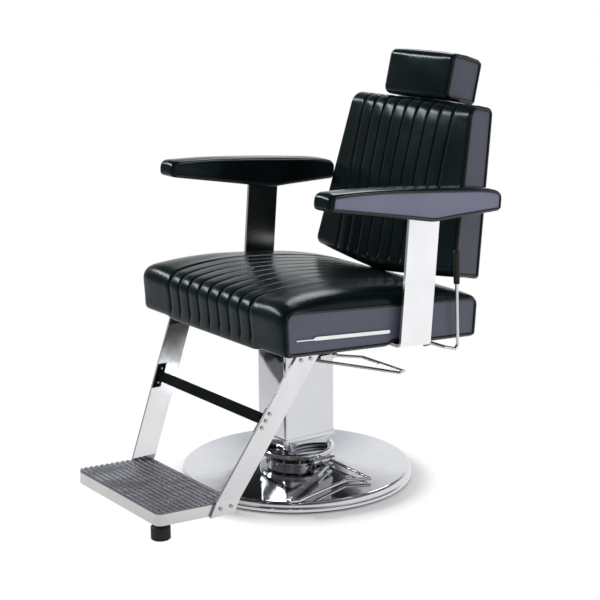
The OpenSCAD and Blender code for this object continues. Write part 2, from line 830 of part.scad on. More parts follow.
module seat_frame() {
    plate_front = strap_front - 5;
    tab_t = 5;
    color(painted) difference() {
        union() {
            both_sides() side_plate(web_x, web_t) web_outline();
            translate([-web_x - 1, -hub_flange_w / 2, hub_top + gap])
                cube([2 * web_x + 2, hub_flange_w, saddle_t]);
            seat_pose() {
                translate([-tube_half, tube_y, under - gap - tube_w]) cube([2 * tube_half, tube_w, tube_w]);
                translate([-web_x - 1, rear_tube_y, under - gap - tube_w])
                    cube([2 * web_x + 2, tube_w, tube_w]);
                translate([-cross_half, plate_front, frame_top - cross_t])
                    cube([2 * cross_half, strap_w + 10, cross_t]);
            }
            both_sides() stay_plane() side_plate(-gap - tab_t, tab_t) polygon([
                for (p = [[4, end_plate_low], [stay_w - 4, end_plate_low], [stay_w - 4, stay_top_s - 3],
                    [4, stay_top_s - 3]]) [stay_edge(p[1]) + p[0], p[1]]
            ]);
        }
        for (x = [-1, 1], y = [-1, 1])
            translate([x * hub_bolt_y, y * hub_bolt_y, hub_z]) cylinder(h = 40, r = hub_bolt_r + gap / 2);
        seat_pose() both_sides() strap_bolt_places()
            cylinder(h = 40, r = strap_bolt_r + gap / 2, center = true);
        both_sides() stay_plane() top_screw_places() pin_x(-20, 20, 0, 0, screw_r + gap / 2);
    }
}

module strap_bolt_places() {
    for (x = strap_bolt_x, y = [0.25, 0.75])
        translate([x, strap_front + y * strap_w, frame_top]) children();
}

module top_screw_places() {
    for (k = [0.3, 0.7])
        translate([0, stay_edge(top_screw_z) + k * stay_w, top_screw_z]) children();
}

module crossbar_screw_places() {
    for (k = [-1, 0, 1])
        translate([0, stay_edge(crossbar_z + 16 * k) + 12, crossbar_z + 16 * k]) children();
}

module plate_screw_places() {
    for (k = [0.28, 0.72])
        translate([0, stay_edge(plate_screw_z) + k * stay_w, plate_screw_z]) children();
}

module seat_board() {
    color(timber) seat_pose() translate([0, 0, under]) linear_extrude(board_t)
        translate([0, (seat_front + seat_rear) / 2])
            rounded_rect(2 * (seat_hw - board_inset), seat_rear - seat_front - 2 * board_inset, 20);
}

// Rise of the seat's top along its length, as a share of the crown, from the front roll to the rear
seat_rise = [[0.06, 0.82], [0.14, 0.92], [0.25, 0.98], [0.39, 1], [0.55, 0.98], [0.69, 0.89], [0.81, 0.73],
    [0.92, 0.45]];

// Side outline of the seat cushion: distance back, height, share of the bow, share of the crown and
// how deep the seams pull
seat_outline = let (b = seat_edge_r, m = (seat_top + under) / 2, run = seat_rear - seat_front - 2 * b) concat(
    [[seat_rear - 8, under, 0, 0, 0], [seat_front + 8, under, 0, 0, 0], [seat_front, under + 7, 0.1, 0, 0.6]],
    [for (k = [0.3, 0.6, 0.85]) [seat_front, under + 7 + k * (seat_top - b - under - 7), k, 0.15 * k, 1]],
    [for (k = [0:4]) let (a = 180 - 22.5 * k)
        [seat_front + b + b * cos(a), seat_top - b + b * sin(a), 1 - 0.08 * k, 0.2 + 0.14 * k, 1]],
    [for (q = seat_rise)
        [seat_front + b + q[0] * run, seat_top, max(0, 0.7 - 4 * q[0]), q[1], q[0] < 0.8 ? 1 : 0.4]],
    [for (k = [0:3]) let (a = 90 - 30 * k)
        [seat_rear - b + b * cos(a), seat_top - b + b * sin(a), 0, 0.22 - 0.06 * k, 0]],
    [[seat_rear, m, 0, 0, 0], [seat_rear, under + 7, 0, 0, 0]]
);

// Outward direction of an outline that runs clockwise, at one of its points
function outward(outline, j) =
    let (m = len(outline), a = outline[(j + m - 1) % m], b = outline[(j + 1) % m],
        d = [b[0] - a[0], b[1] - a[1]])
    [-d[1], d[0]] / norm(d);

function side_inset(x, half, r) = abs(x) < half - r ? 0 : r - sqrt(max(0, r * r - pow(abs(x) - half + r, 2)));

// A shouldered dome across the seat, and a rounder bow along its front
function seat_section(x) = [
    for (j = [0:len(seat_outline) - 1])
        let (p = seat_outline[j], n = outward(seat_outline, j), s = abs(x) / seat_hw,
            d = -p[4] * seam_pull(x) - side_inset(x, seat_hw, 6))
        [x, p[0] + n[0] * d - p[2] * seat_bow * (1 - pow(s, 2)),
            p[1] + n[1] * d + p[3] * seat_crown * (1 - pow(s, seat_shoulder))]
];

seat_side = [seat_hw, seat_hw - 1.5, seat_hw - 6, seat_hw - 16, seat_hw - 36, (seat_hw + seam_last) / 2];

module seat_cushion() {
    color(leather) seat_pose() difference() {
        loft([for (x = concat(-seat_side, seam_stations, reverse(seat_side))) seat_section(x)]);
        translate([0, 0, under - 1]) linear_extrude(board_t + 1 + gap)
            translate([0, (seat_front + seat_rear) / 2])
                rounded_rect(2 * (seat_hw - board_inset + gap),
                    seat_rear - seat_front - 2 * board_inset + 2 * gap, 20, $fn = 24);
    }
}

function reverse(v) = [for (i = [len(v) - 1:-1:0]) v[i]];

module side_trims() {
    color(chrome) seat_pose() both_sides()
        translate([seat_hw + gap, trim_y[0], trim_z]) cube([1.5, trim_y[1] - trim_y[0], trim_w]);
}

// ======== arms ========

module arm_strap() {
    cx = strap_x - strap_bend_r;
    cz = strap_leg_low + strap_bend_r;
    color(chrome) seat_pose() difference() {
        translate([0, strap_front + strap_w, 0]) rotate([90, 0, 0]) linear_extrude(strap_w) polygon(concat(
            [[strap_x - strap_t, strap_top], [strap_x - strap_t, cz]],
            arc(cx, cz, strap_bend_r - strap_t, 0, -90, 6),
            [[strap_leg_in, strap_leg_low + strap_t], [strap_leg_in, strap_leg_low]],
            arc(cx, cz, strap_bend_r, -90, 0, 10),
            [[strap_x, strap_top]]
        ));
        strap_bolt_places() cylinder(h = 40, r = strap_bolt_r + gap / 2, center = true);
    }
}

module arm_strap_left() { arm_strap(); }
module arm_strap_right() { mirror([1, 0, 0]) arm_strap(); }

module arm_core() {
    color(timber) seat_pose() difference() {
        translate([arm_x - core_hw, strap_front - 30, core_low])
            cube([2 * core_hw, strap_w + 60, core_top - core_low]);
        translate([strap_x - strap_t - gap, strap_front - gap, core_low - 1])
            cube([strap_t + 2 * gap, strap_w + 2 * gap, strap_top - core_low + 1 + gap]);
    }
}

module arm_core_left() { arm_core(); }
module arm_core_right() { mirror([1, 0, 0]) arm_core(); }

// Side outline of an arm pad, deepest over the strap
arm_outline = let (mid = strap_front + strap_w / 2 + 8) concat(
    arc(arm_front + 9, arm_top - arm_front_d + 9, 9, 270, 180, 2),
    arc(arm_front + 14, arm_top - 14, 14, 180, 90, 3),
    [for (k = [0.2, 0.45, 0.7])
        [arm_front + k * (arm_rear - arm_front), arm_top - 2 * k + arm_crown * sin(180 * k)]],
    [[arm_front + 0.88 * (arm_rear - arm_front), arm_top - 2 + arm_crown * 0.3]],
    arc(arm_rear - 12, arm_top - 17, 12, 90, 0, 3),
    arc(arm_rear - 6, arm_top - arm_rear_d + 6, 6, 0, -90, 2),
    [[mid + 60, arm_top - arm_deep_d + 8], [mid + 8, arm_top - arm_deep_d], [mid - 8, arm_top - arm_deep_d]],
    [[mid - 60, arm_top - arm_deep_d + 6]]
);

function arm_section(x) = [
    for (j = [0:len(arm_outline) - 1])
        let (p = arm_outline[j], n = outward(arm_outline, j), d = 2.5 * max(0, n[1]) * (1 - pow(x / arm_hw, 2))
            - side_inset(x, arm_hw, 7) * (n[0] < -0.5 ? 1.6 : 1))
        [arm_x + x, p[0] + n[0] * d, p[1] + n[1] * d]
];

module arm_pad() {
    side = [arm_hw, arm_hw - 2, arm_hw - 7, arm_hw / 2];
    color(leather) seat_pose() difference() {
        loft([for (x = concat(-side, [0], reverse(side))) arm_section(x)]);
        translate([arm_x - core_hw - gap, strap_front - 30 - gap, core_low - gap])
            cube([2 * (core_hw + gap), strap_w + 60 + 2 * gap, core_top - core_low + 2 * gap]);
        translate([strap_x - strap_t - gap, strap_front - gap, arm_top - arm_deep_d - 20])
            cube([strap_t + 2 * gap, strap_w + 2 * gap, 60]);
    }
}

module arm_pad_left() { arm_pad(); }
module arm_pad_right() { mirror([1, 0, 0]) arm_pad(); }

module strap_bolts() {
    color(steel) seat_pose() both_sides() strap_bolt_places() {
        translate([0, 0, -cross_t - gap]) cylinder(h = cross_t + gap + strap_t, r = strap_bolt_r);
        translate([0, 0, -cross_t - gap - 4]) cylinder(h = 4, r = strap_bolt_r * 1.7, $fn = 6);
    }
}

// ======== footrest ========

module stay() {
    z0 = stay_low_z;
    b = stay_bend_z;
    color(chrome) difference() {
        union() {
            side_plate(foot_hw + gap, stay_t) polygon([
                [stay_edge(z0), z0], [stay_edge(z0) + stay_w, z0],
                [stay_edge(b + 1) + stay_w, b + 1], [stay_edge(b + 1), b + 1]
            ]);
            stay_plane() side_plate(0, stay_t) polygon([
                [stay_edge(b), b], [stay_edge(b) + stay_w, b],
                [stay_edge(stay_top_s) + stay_w, stay_top_s], [stay_edge(stay_top_s), stay_top_s]
            ]);
        }
        plate_screw_places() pin_x(foot_hw - 20, foot_hw + 20, 0, 0, screw_r + gap / 2);
        stay_plane() {
            crossbar_screw_places() pin_x(-20, 20, 0, 0, screw_r + gap / 2);
            top_screw_places() pin_x(-20, 20, 0, 0, screw_r + gap / 2);
        }
    }
}

module stay_left() { stay(); }
module stay_right() { mirror([1, 0, 0]) stay(); }

module stay_crossbar() {
    tab_t = 4;
    half = stay_cross_x - gap - tab_t / cos(stay_splay) + 0.5;
    drop = crossbar_w / 2 * cos(stay_slope) * tan(stay_splay);
    color(painted) difference() {
        union() {
            translate([0, stay_edge(crossbar_z) + 12, crossbar_wz])
                rotate([-stay_slope, 0, 0]) translate([0, 2.5, 0]) rotate([90, 0, 0]) linear_extrude(5)
                    polygon([[-half + drop, -crossbar_w / 2], [half - drop, -crossbar_w / 2],
                        [half + drop, crossbar_w / 2], [-half - drop, crossbar_w / 2]]);
            both_sides() stay_plane() side_plate(-gap - tab_t, tab_t) polygon([
                for (p = [[2, -27], [22, -27], [22, 27], [2, 27]])
                    [stay_edge(crossbar_z + p[1]) + p[0], crossbar_z + p[1]]
            ]);
        }
        both_sides() stay_plane() crossbar_screw_places() pin_x(-20, 20, 0, 0, screw_r + gap / 2);
    }
}

// A round-headed screw through a stay, its head outside
module stay_screw(inside) {
    pin_x(-inside, stay_t + gap, 0, 0, screw_r);
    pin_x(stay_t + gap, stay_t + gap + 2, 0, 0, screw_r * 1.8);
}

module footrest_screws() {
    color(steel) both_sides() {
        translate([foot_hw + gap, 0, 0]) plate_screw_places() stay_screw(foot_wall + gap);
        stay_plane() {
            crossbar_screw_places() stay_screw(4 + gap);
            top_screw_places() stay_screw(5 + gap);
        }
    }
}

module foot_outline(inset = 0) {
    r = 16 - inset;
    w = foot_hw - inset;
    polygon(concat(
        [[w, foot_d - inset], [-w, foot_d - inset]],
        arc(-w + r, inset + r, r, 180, 270, 6),
        arc(w - r, inset + r, r, 270, 360, 6)
    ));
}

module foot_plate() {
    tread_t = tread_rib_h + 3 + gap;
    color(alloy) difference() {
        foot_pose() difference() {
            union() {
                difference() {
                    translate([0, 0, -foot_rim_h]) linear_extrude(foot_rim_h - tread_t) foot_outline();
                    translate([0, 0, -foot_rim_h - 1]) linear_extrude(foot_rim_h - tread_t - foot_wall + 1)
                        foot_outline(foot_wall);
                }
                translate([foot_at[0], foot_at[1] - foot_front, -foot_rim_h + 2])
                    cylinder(h = foot_rim_h - tread_t - 3, r = 11);
            }
        }
        translate([foot_at[0], foot_at[1], 0]) cylinder(h = foot_top_z - tread_t - 4, r = stem_r + run_gap);
        translate([0, 0, 0]) both_sides() plate_screw_places()
            pin_x(foot_hw - 20, foot_hw + 20, 0, 0, screw_r + gap / 2);
    }
}

module foot_tread() {
    pitch = foot_d / tread_ribs;
    color(alloy) foot_pose() {
        translate([0, 0, -tread_rib_h - 3]) linear_extrude(3) foot_outline();
        intersection() {
            translate([0, 0, -tread_rib_h - 1]) linear_extrude(tread_rib_h + 1) foot_outline();
            for (i = [0:tread_ribs - 1])
                translate([-foot_hw, (i + 0.5) * pitch, 0]) rotate([90, 0, 90]) linear_extrude(2 * foot_hw)
                    polygon([[-0.3 * pitch, -tread_rib_h - 1], [0.3 * pitch, -tread_rib_h - 1],
                        [0.2 * pitch, 0], [-0.2 * pitch, 0]]);
        }
    }
}

module foot_stem() {
    color(steel) translate([foot_at[0], foot_at[1], foot_rubber_h - 16])
        cylinder(h = foot_top_z - foot_rubber_h + 16 - 12, r = stem_r);
}

module foot_rubber() {
    c = 3;
    color(rubber) translate([foot_at[0], foot_at[1], 0]) rotate_extrude() polygon([
        [0, 0], [foot_rubber_r - c / 2, 0], [foot_rubber_r, c / 2], [foot_rubber_r, foot_rubber_h - c],
        [foot_rubber_r - c, foot_rubber_h], [stem_r + gap, foot_rubber_h],
        [stem_r + gap, foot_rubber_h - 16 - gap], [0, foot_rubber_h - 16 - gap]
    ]);
}

// ======== recline lever and locks ========

module lever_bearings() {
    color(painted) difference() {
        for (x = lever_bearing_x)
            side_plate(x - 3, 6) polygon([
                [lever_y - 10, seat_line_z(lever_y - 10, under - gap)], [lever_y - 10, lever_z - 9],
                [lever_y + 10, lever_z - 9], [lever_y + 10, seat_line_z(lever_y + 10, under - gap)]
            ]);
        pin_x(0, seat_hw, lever_y, lever_z, lever_shaft_r + run_gap);
    }
}

module recline_lever() {
    color(chrome) {
        pin_x(lever_bearing_x[0] - 10, lever_bearing_x[1] + 15, lever_y, lever_z, lever_shaft_r);
        translate([lever_bearing_x[0] - 10, lever_y - 22, lever_z - 3]) cube([5, 22, 6]);
        bent_rod(concat(lever_bend, [lever_top]), lever_r);
    }
}

module lever_grip() {
    color(rubber) difference() {
        union() {
            bar_between(grip_low, grip_high, grip_r);
            translate(grip_high) sphere(r = grip_r + 0.05);
        }
        bar_between(grip_low - 2 * grip_axis, lever_top + gap * grip_axis, lever_r + gap);
    }
}

module lock_bracket() {
    x0 = web_x + web_t + gap;
    color(painted) difference() {
        union() {
            translate([x0, handle_y - 22, handle_z - 4]) cube([6, 44, 36]);
            translate([x0, handle_y - 16, handle_z - 8]) cube([handle_x + 12 - x0, 32, 16]);
        }
        pin_y(handle_y - 40, handle_y + 40, handle_x, handle_z, handle_axle_r + run_gap);
    }
}

module lock_handle() {
    color(steel) {
        pin_y(handle_y - handle_half, handle_y + handle_half, handle_x, handle_z, handle_axle_r);
        bent_rod(handle_loop, handle_r);
    }
}

module recline_pins() {
    color(steel) both_sides() {
        pin_x(web_x - 4, arm_plate_x + arm_plate_t + 2, pivot_y, pivot_z, pivot_r);
        pin_x(web_x - 8, web_x - gap, pivot_y, pivot_z, pivot_r + 4);
    }
}

module lock_cylinder() {
    lug = 16;
    color(steel) difference() {
        union() {
            pin_y(lock_y[0], lock_y[1], lock_x, lock_z, lock_r);
            for (y = [lock_y[0] + 10, lock_y[1] - 10 - lug])
                translate([web_x + web_t + gap, y, lock_z - 6]) cube([lock_x - web_x - web_t - gap, lug, 12]);
        }
        pin_y(lock_y[0] + 8, lock_y[1] + 1, lock_x, lock_z, lock_rod_r + run_gap);
    }
}

module lock_rod() {
    y = crank_pin_y;
    color(steel) difference() {
        union() {
            pin_y(lock_rod_y, y - 8, lock_x, lock_z, lock_rod_r);
            side_plate(lock_x - 4, 8) translate([y, lock_z])
                rounded_rect(2 * (crank_pin_r + 6), 2 * slot_half + 10, 4);
        }
        side_plate(lock_x - 5, 10) translate([y, lock_z])
            rounded_rect(2 * (crank_pin_r + 0.55), 2 * slot_half, crank_pin_r + 0.5);
    }
}

// ======== back ========

// Place of the recline pin in the back's leaning frame
pin_n = (pivot_y - back_y) * cos(back_lean) - (pivot_z - back_z) * sin(back_lean);
pin_u = (pivot_z - back_z) * cos(back_lean) + (pivot_y - back_y) * sin(back_lean);

module back_arm_outline() {
    translate([pin_n, pin_u]) circle(r = 16);
    polygon([[pin_n - 16, pin_u], [pin_n + 14, pin_u + 4], [76, 6], [76, 60], [66, arm_plate_top],
        [arm_front_n, arm_plate_top], [arm_front_n, 10]]);
}

// A flat link with round ends between two points of a plane
module flat_link(a, b, r) {
    d = (b - a) / norm(b - a);
    side = r * [-d[1], d[0]];
    polygon([a + side, b + side, b - side, a - side]);
    for (p = [a, b])
        translate(p) circle(r = r);
}

module back_frame() {
    end = [crank_pin_y, crank_pin_z];
    color(painted) difference() {
        union() {
            back_pose() mirror([1, 0, 0]) side_plate(arm_plate_x, arm_plate_t) back_arm_outline();
            side_plate(arm_plate_x, arm_plate_t) {
                translate([back_y, back_z]) rotate(-back_lean) back_arm_outline();
                flat_link([pivot_y, pivot_z], knee, 9);
                flat_link(knee, end, 7);
            }
            back_pose() for (u = cross_bar_u)
                translate([-arm_plate_x - 1, 64.5, u]) cube([2 * arm_plate_x + 2, 5.5, 25]);
            pin_x(arm_plate_x + 1, lock_x + 6, crank_pin_y, crank_pin_z, crank_pin_r);
        }
        both_sides() pin_x(arm_plate_x - 1, arm_plate_x + arm_plate_t + 1, pivot_y, pivot_z, bush_r + gap / 6);
    }
}

module recline_bushes() {
    color(bronze) both_sides() difference() {
        pin_x(arm_plate_x, arm_plate_x + arm_plate_t, pivot_y, pivot_z, bush_r);
        pin_x(arm_plate_x - 1, arm_plate_x + arm_plate_t + 1, pivot_y, pivot_z, pivot_r + run_gap);
    }
}

function back_hw(u) = back_foot_hw + (back_top_hw - back_foot_hw) * u / back_h;

// How far the cushion's face is rounded off near its ends
function end_round(u, r) = let (e = min(u, back_h - u)) e > r ? 0 : r - sqrt(r * r - pow(r - e, 2));

// A point of the back cushion's front at a distance across and a height
function back_front(x, u) =
    let (hw = back_hw(u), across = 1 - pow(x / hw, 2), low = max(0, 1 - u / 120),
        roll = u < back_h / 2 ? 20 : back_roll + 14 * across, fall = end_round(u, roll))
    [x, fall + side_inset(x, hw, 6) - back_crown * (0.6 + 0.4 * sin(180 * u / back_h)) * across
        + seam_pull(x) * (fall > 12 ? 0.5 : 1), u - back_sag * pow(across, 1.5) * low * low];

// Section of the back cushion at a height: points across the front, then the flat rear
function back_section(u) =
    let (hw = back_hw(u), side = [hw, hw - 1.5, hw - 6, hw - 18, (hw + seam_last) / 2],
        xs = concat(-side, seam_stations, reverse(side)))
    concat([for (x = xs) back_front(x, u)], [[hw, back_pad_t, u], [-hw, back_pad_t, u]]);

module back_cushion() {
    us = [0, 1.5, 6, 18, 45, 90, 140, 200, 265, 325, back_h - 44, back_h - 30, back_h - 18, back_h - 9,
        back_h - 3, back_h - 0.8, back_h];
    color(leather) back_pose() loft([for (u = us) back_section(u)]);
}

module shell_block(inset) {
    intersection() {
        side_plate(-back_foot_hw, 2 * back_foot_hw) polygon([
            [back_pad_t + gap, inset], [back_foot_t - inset, inset],
            [back_top_t - inset, back_h - inset], [back_pad_t + gap, back_h - inset]
        ]);
        translate([0, back_foot_t + 1, 0]) rotate([90, 0, 0]) linear_extrude(back_foot_t + 2) polygon([
            [-back_foot_hw + inset, 0], [back_foot_hw - inset, 0],
            [back_top_hw - inset, back_h], [-back_top_hw + inset, back_h]
        ]);
    }
}

module back_shell() {
    color(leather) back_pose() difference() {
        shell_block(0);
        translate([0, -gap - 1, 0]) shell_block(shell_wall);
        translate([0, 0, 0]) shell_block(shell_wall);
        both_sides() translate([arm_plate_x - 0.5, back_pad_t - 1, -1])
            cube([arm_plate_t + 1, back_foot_t - back_pad_t - 3, shell_wall + 2]);
        translate([-bar_w / 2 - gap, bar_n - bar_t / 2 - gap, back_h - shell_wall - 1])
            cube([bar_w + 2 * gap, bar_t + 2 * gap, shell_wall + 2]);
    }
}

module headrest_socket() {
    wall = 3;
    color(steel) back_pose() difference() {
        translate([-bar_w / 2 - gap - wall, bar_n - bar_t / 2 - gap - wall, socket_low])
            cube([bar_w + 2 * (gap + wall), bar_t + 2 * (gap + wall), back_h - shell_wall - gap - socket_low]);
        translate([-bar_w / 2 - gap, bar_n - bar_t / 2 - gap, socket_low - 1])
            cube([bar_w + 2 * gap, bar_t + 2 * gap, back_h]);
    }
}

// ======== headrest ========

module headrest_bar() {
    notch = 4;
    top = head_low + head_board_t;
    color(chrome) back_pose() difference() {
        translate([-bar_w / 2, bar_n - bar_t / 2, bar_low]) cube([bar_w, bar_t, top - bar_low]);
        for (i = [0:5])
            translate([bar_w / 2, bar_n - bar_t, bar_low + 30 + 18 * i]) rotate([0, 45, 0])
                translate([-notch / 2, 0, -notch / 2]) cube([notch, 2 * bar_t, notch]);
    }
}

module headrest_board() {
    color(timber) back_pose() difference() {
        translate([-head_board_hw, head_front + 14, head_low])
            cube([2 * head_board_hw, head_t - 28, head_board_t]);
        translate([-bar_w / 2 - gap, bar_n - bar_t / 2 - gap, head_low - 1])
            cube([bar_w + 2 * gap, bar_t + 2 * gap, head_board_t + 2]);
    }
}

// Side outline of the headrest, fuller at the front
head_outline = concat(
    arc(head_front + 20, head_low + head_h - 24, 24, 180, 90, 5),
    [[head_front + head_t / 2, head_low + head_h + 1]],
    arc(head_front + head_t - 14, head_low + head_h - 16, 14, 90, 0, 4),
    [[head_front + head_t, head_low + head_h / 2]],
    arc(head_front + head_t - 8, head_low + 8, 8, 0, -90, 3),
    arc(head_front + 18, head_low + 18, 18, 270, 180, 4),
    [[head_front - 2, head_low + head_h / 2]]
);

function head_section(x) = [
    for (j = [0:len(head_outline) - 1])
        let (p = head_outline[j], n = outward(head_outline, j), low = p[1] < head_low + 3 ? 0 : 1,
            d = 3 * low * (1 - pow(x / head_hw, 2)) - side_inset(x, head_hw, 7))
        [x, p[0] + n[0] * d, p[1] + n[1] * d]
];

module headrest_cushion() {
    side = [head_hw, head_hw - 2, head_hw - 7, head_hw / 2];
    color(leather) back_pose() difference() {
        loft([for (x = concat(-side, [0], reverse(side))) head_section(x)]);
        translate([-head_board_hw - gap, head_front + 14 - gap, head_low - 5])
            cube([2 * (head_board_hw + gap), head_t - 28 + 2 * gap, head_board_t + 5 + gap]);
    }
}

base_cover();
base_plate();
floor_ring();
housing_bolts();
pump_housing();
flange_ring();
reservoir_cap();
filler_plug();
lift_cylinder();
cylinder_gland();
ram_wiper();
pump_body();
pedal_pin();
pump_plunger();
pump_pedal();
pedal_sleeve();
ram();
piston();
piston_seal();
thrust_bearing();
swivel_hub();
hub_bolts();
column_shroud();
seat_frame();
seat_board();
seat_cushion();
arm_strap_left();
arm_strap_right();
arm_core_left();
arm_core_right();
arm_pad_left();
arm_pad_right();
strap_bolts();
stay_left();
stay_right();
stay_crossbar();
footrest_screws();
foot_plate();
foot_tread();
foot_stem();
foot_rubber();
side_trims();
lever_bearings();
recline_lever();
lever_grip();
lock_bracket();
lock_handle();
recline_pins();
lock_cylinder();
lock_rod();
back_frame();
recline_bushes();
back_cushion();
back_shell();
headrest_socket();
headrest_bar();
headrest_board();
headrest_cushion();
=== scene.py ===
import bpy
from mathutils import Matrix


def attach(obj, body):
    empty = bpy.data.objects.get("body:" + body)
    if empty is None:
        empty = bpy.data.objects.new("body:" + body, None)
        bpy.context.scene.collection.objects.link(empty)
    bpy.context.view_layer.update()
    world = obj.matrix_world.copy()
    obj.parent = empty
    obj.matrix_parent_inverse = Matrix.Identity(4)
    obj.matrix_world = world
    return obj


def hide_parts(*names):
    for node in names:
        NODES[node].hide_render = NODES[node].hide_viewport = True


bl_info = {
    "name": "Hydraulic Barber Chair",
    "version": (1, 0, 0),
    "blender": (4, 5, 0),
    "location": "View3D > Sidebar > Chair",
    "description": "Upholstery, metal finishes and studio for a reclining hydraulic barber chair",
    "category": "Object",
}

from math import cos, pi, radians, sin, sqrt

import bpy
import numpy as np
from bpy.props import FloatProperty, FloatVectorProperty, PointerProperty
from mathutils import Euler, Matrix, Vector

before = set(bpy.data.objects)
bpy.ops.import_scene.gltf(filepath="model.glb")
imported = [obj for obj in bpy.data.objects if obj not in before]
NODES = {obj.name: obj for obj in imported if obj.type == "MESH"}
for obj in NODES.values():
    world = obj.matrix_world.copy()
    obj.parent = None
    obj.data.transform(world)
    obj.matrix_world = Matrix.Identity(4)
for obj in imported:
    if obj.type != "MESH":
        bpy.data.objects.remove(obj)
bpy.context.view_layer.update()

# Lengths below are in millimetres until a point is placed, and MM turns them into metres.
MM = 0.001
SEAT_POSE = Matrix.Translation((0, 0, 0.4)) @ Matrix.Rotation(-radians(4.5), 4, "X")
BACK_POSE = Matrix.Translation((0, 0.2594, 0.5075)) @ Matrix.Rotation(-radians(13.2), 4, "X")
# The seams lie SEAM_PITCH apart, with SEAM_LIMIT of them on each side of the middle one.
SEAM_PITCH = 42
SEAM_LIMIT = 4
SEAM_LAST = SEAM_LIMIT * SEAM_PITCH
SEAT_HALF = 297.5
SEAT_FRONT, SEAT_REAR = -238, 311
SEAT_LOW, SEAT_TOP = -11, 84
BACK_FOOT_HALF = 268
BACK_TOP_HALF = 221
BACK_HEIGHT = 404
HEAD_HALF = 117
ARM_MIDDLE = 316.5
ARM_HALF = 31
SEAT_CROWN = 37
SEAT_BOW = 19
BACK_CROWN = 15
BACK_SAG = 34
BACK_ROLL = 32

# The tread's top edge at its front and its fall, in metres
TREAD_FRONT, TREAD_TOP, TREAD_SLOPE = -0.504, 0.07, 0.0542
# Colour of the painted highlight along the seams of the channelled leather
SEAM_HIGHLIGHT_COLOUR = (0.19, 0.23, 0.25, 1)

# The studio: where the camera stands and how it turns, and the middle of the shadow under the base
CAMERA_PLACE = (2.8976, -2.1015, 1.2839)
CAMERA_TILT, CAMERA_TURN, CAMERA_ROLL = 76.7, 53.866, -0.4
SHADOW_MIDDLE = (0.022, -0.004, 0)
FLOOR_HALF, FLOOR_HEIGHT = 14000, -0.3
WHITE = (1, 1, 1, 1)


# ---------------------------------------------------------------- shader writing

class Link:
    """An output of a node that takes part in arithmetic: each operation adds one Math node."""

    def __init__(self, finish, socket):
        self.finish = finish
        self.socket = socket

    def join(self, operation, first, second):
        return self.finish.node("ShaderNodeMath", {"operation": operation}, {0: first, 1: second})

    def __add__(self, other):
        return self.join("ADD", self, other)

    __radd__ = __add__

    def __sub__(self, other):
        return self.join("SUBTRACT", self, other)

    def __rsub__(self, other):
        return self.join("SUBTRACT", other, self)

    def __mul__(self, other):
        return self.join("MULTIPLY", self, other)

    __rmul__ = __mul__

    def __truediv__(self, other):
        return self.join("DIVIDE", self, other)

    def clamped(self):
        return self.finish.node("ShaderNodeClamp", sockets={"Value": self})


class Finish:
    """A node material: a Principled surface, and the nodes that feed it."""

    def __init__(self, name, surface=None):
        self.material = bpy.data.materials.new(name)
        self.material.use_nodes = True
        self.tree = self.material.node_tree
        self.shader = next(n for n in self.tree.nodes if n.type == "BSDF_PRINCIPLED")
        self.surface(surface or {})
        self.place = self.node("ShaderNodeTexCoord", output="Object")

    def feed(self, socket, value):
        if isinstance(value, Link):
            self.tree.links.new(value.socket, socket)
        else:
            socket.default_value = value

    def surface(self, values):
        for name, value in values.items():
            self.feed(self.shader.inputs[name], value)

    def node(self, kind, settings=None, sockets=None, output=0):
        """Adds a node: its settings first, then the values or links of its sockets."""
        node = self.tree.nodes.new(kind)
        for name, value in (settings or {}).items():
            if name == "stops":
                set_stops(node.color_ramp, value)
            else:
                setattr(node, name, value)
        for name, value in (sockets or {}).items():
            self.feed(node.inputs[name], value)
        return Link(self, node.outputs[output])

    def stretched(self, scale):
        return self.node("ShaderNodeMapping", sockets={"Vector": self.place, "Scale": scale})

    def noise(self, scale, detail=3, roughness=0.5, where=None):
        return self.node("ShaderNodeTexNoise", sockets={
            "Vector": where or self.place, "Scale": scale, "Detail": detail, "Roughness": roughness})

    def cells(self, scale):
        return self.node("ShaderNodeTexVoronoi", {"feature": "SMOOTH_F1"}, {"Vector": self.place, "Scale": scale})

    def part(self, axis, vector=None):
        """One coordinate of a vector, or of the shaded point if none is given."""
        return self.node("ShaderNodeSeparateXYZ", sockets={"Vector": vector or self.place}, output=axis)

    def ray(self, kind):
        """1 for a camera or a glossy ray, and 0 for the others."""
        return self.node("ShaderNodeLightPath", output=f"Is {kind} Ray")

    def between(self, value, low, high, to_low=0.0, to_high=1.0):
        return self.node("ShaderNodeMapRange", sockets={
            "Value": value, "From Min": low, "From Max": high, "To Min": to_low, "To Max": to_high})

    def mix(self, factor, first, second):
        return self.node("ShaderNodeMix", {"data_type": "RGBA"}, {0: factor, 6: first, 7: second}, output=2)

    def relief(self, height, depth, strength=1.0, over=None):
        """A Bump node: height times depth in metres, on top of another relief if one is given."""
        sockets = {"Height": height, "Distance": depth, "Strength": strength}
        if over:
            sockets["Normal"] = over
        return self.node("ShaderNodeBump", sockets=sockets)


class Room(Finish):
    """The nodes of a world, written like those of a finish."""

    def __init__(self, name):
        self.world = bpy.data.worlds.new(name)
        self.world.use_nodes = True
        self.tree = self.world.node_tree
        self.shader = next(n for n in self.tree.nodes if n.type == "BACKGROUND")
        self.place = self.node("ShaderNodeTexCoord", output="Generated")


def set_stops(ramp, stops):
    while len(ramp.elements) > 1:
        ramp.elements.remove(ramp.elements[-1])
    for i, (at, colour) in enumerate(stops):
        element = ramp.elements[0] if i == 0 else ramp.elements.new(at)
        element.position = at
        element.color = colour if len(colour) == 4 else (*colour, 1)


def shade(colour, factor):
    """A colour with an alpha, made lighter or darker."""
    return (*[min(1.0, c * factor) for c in colour[:3]], 1)


# ---------------------------------------------------------------- finishes

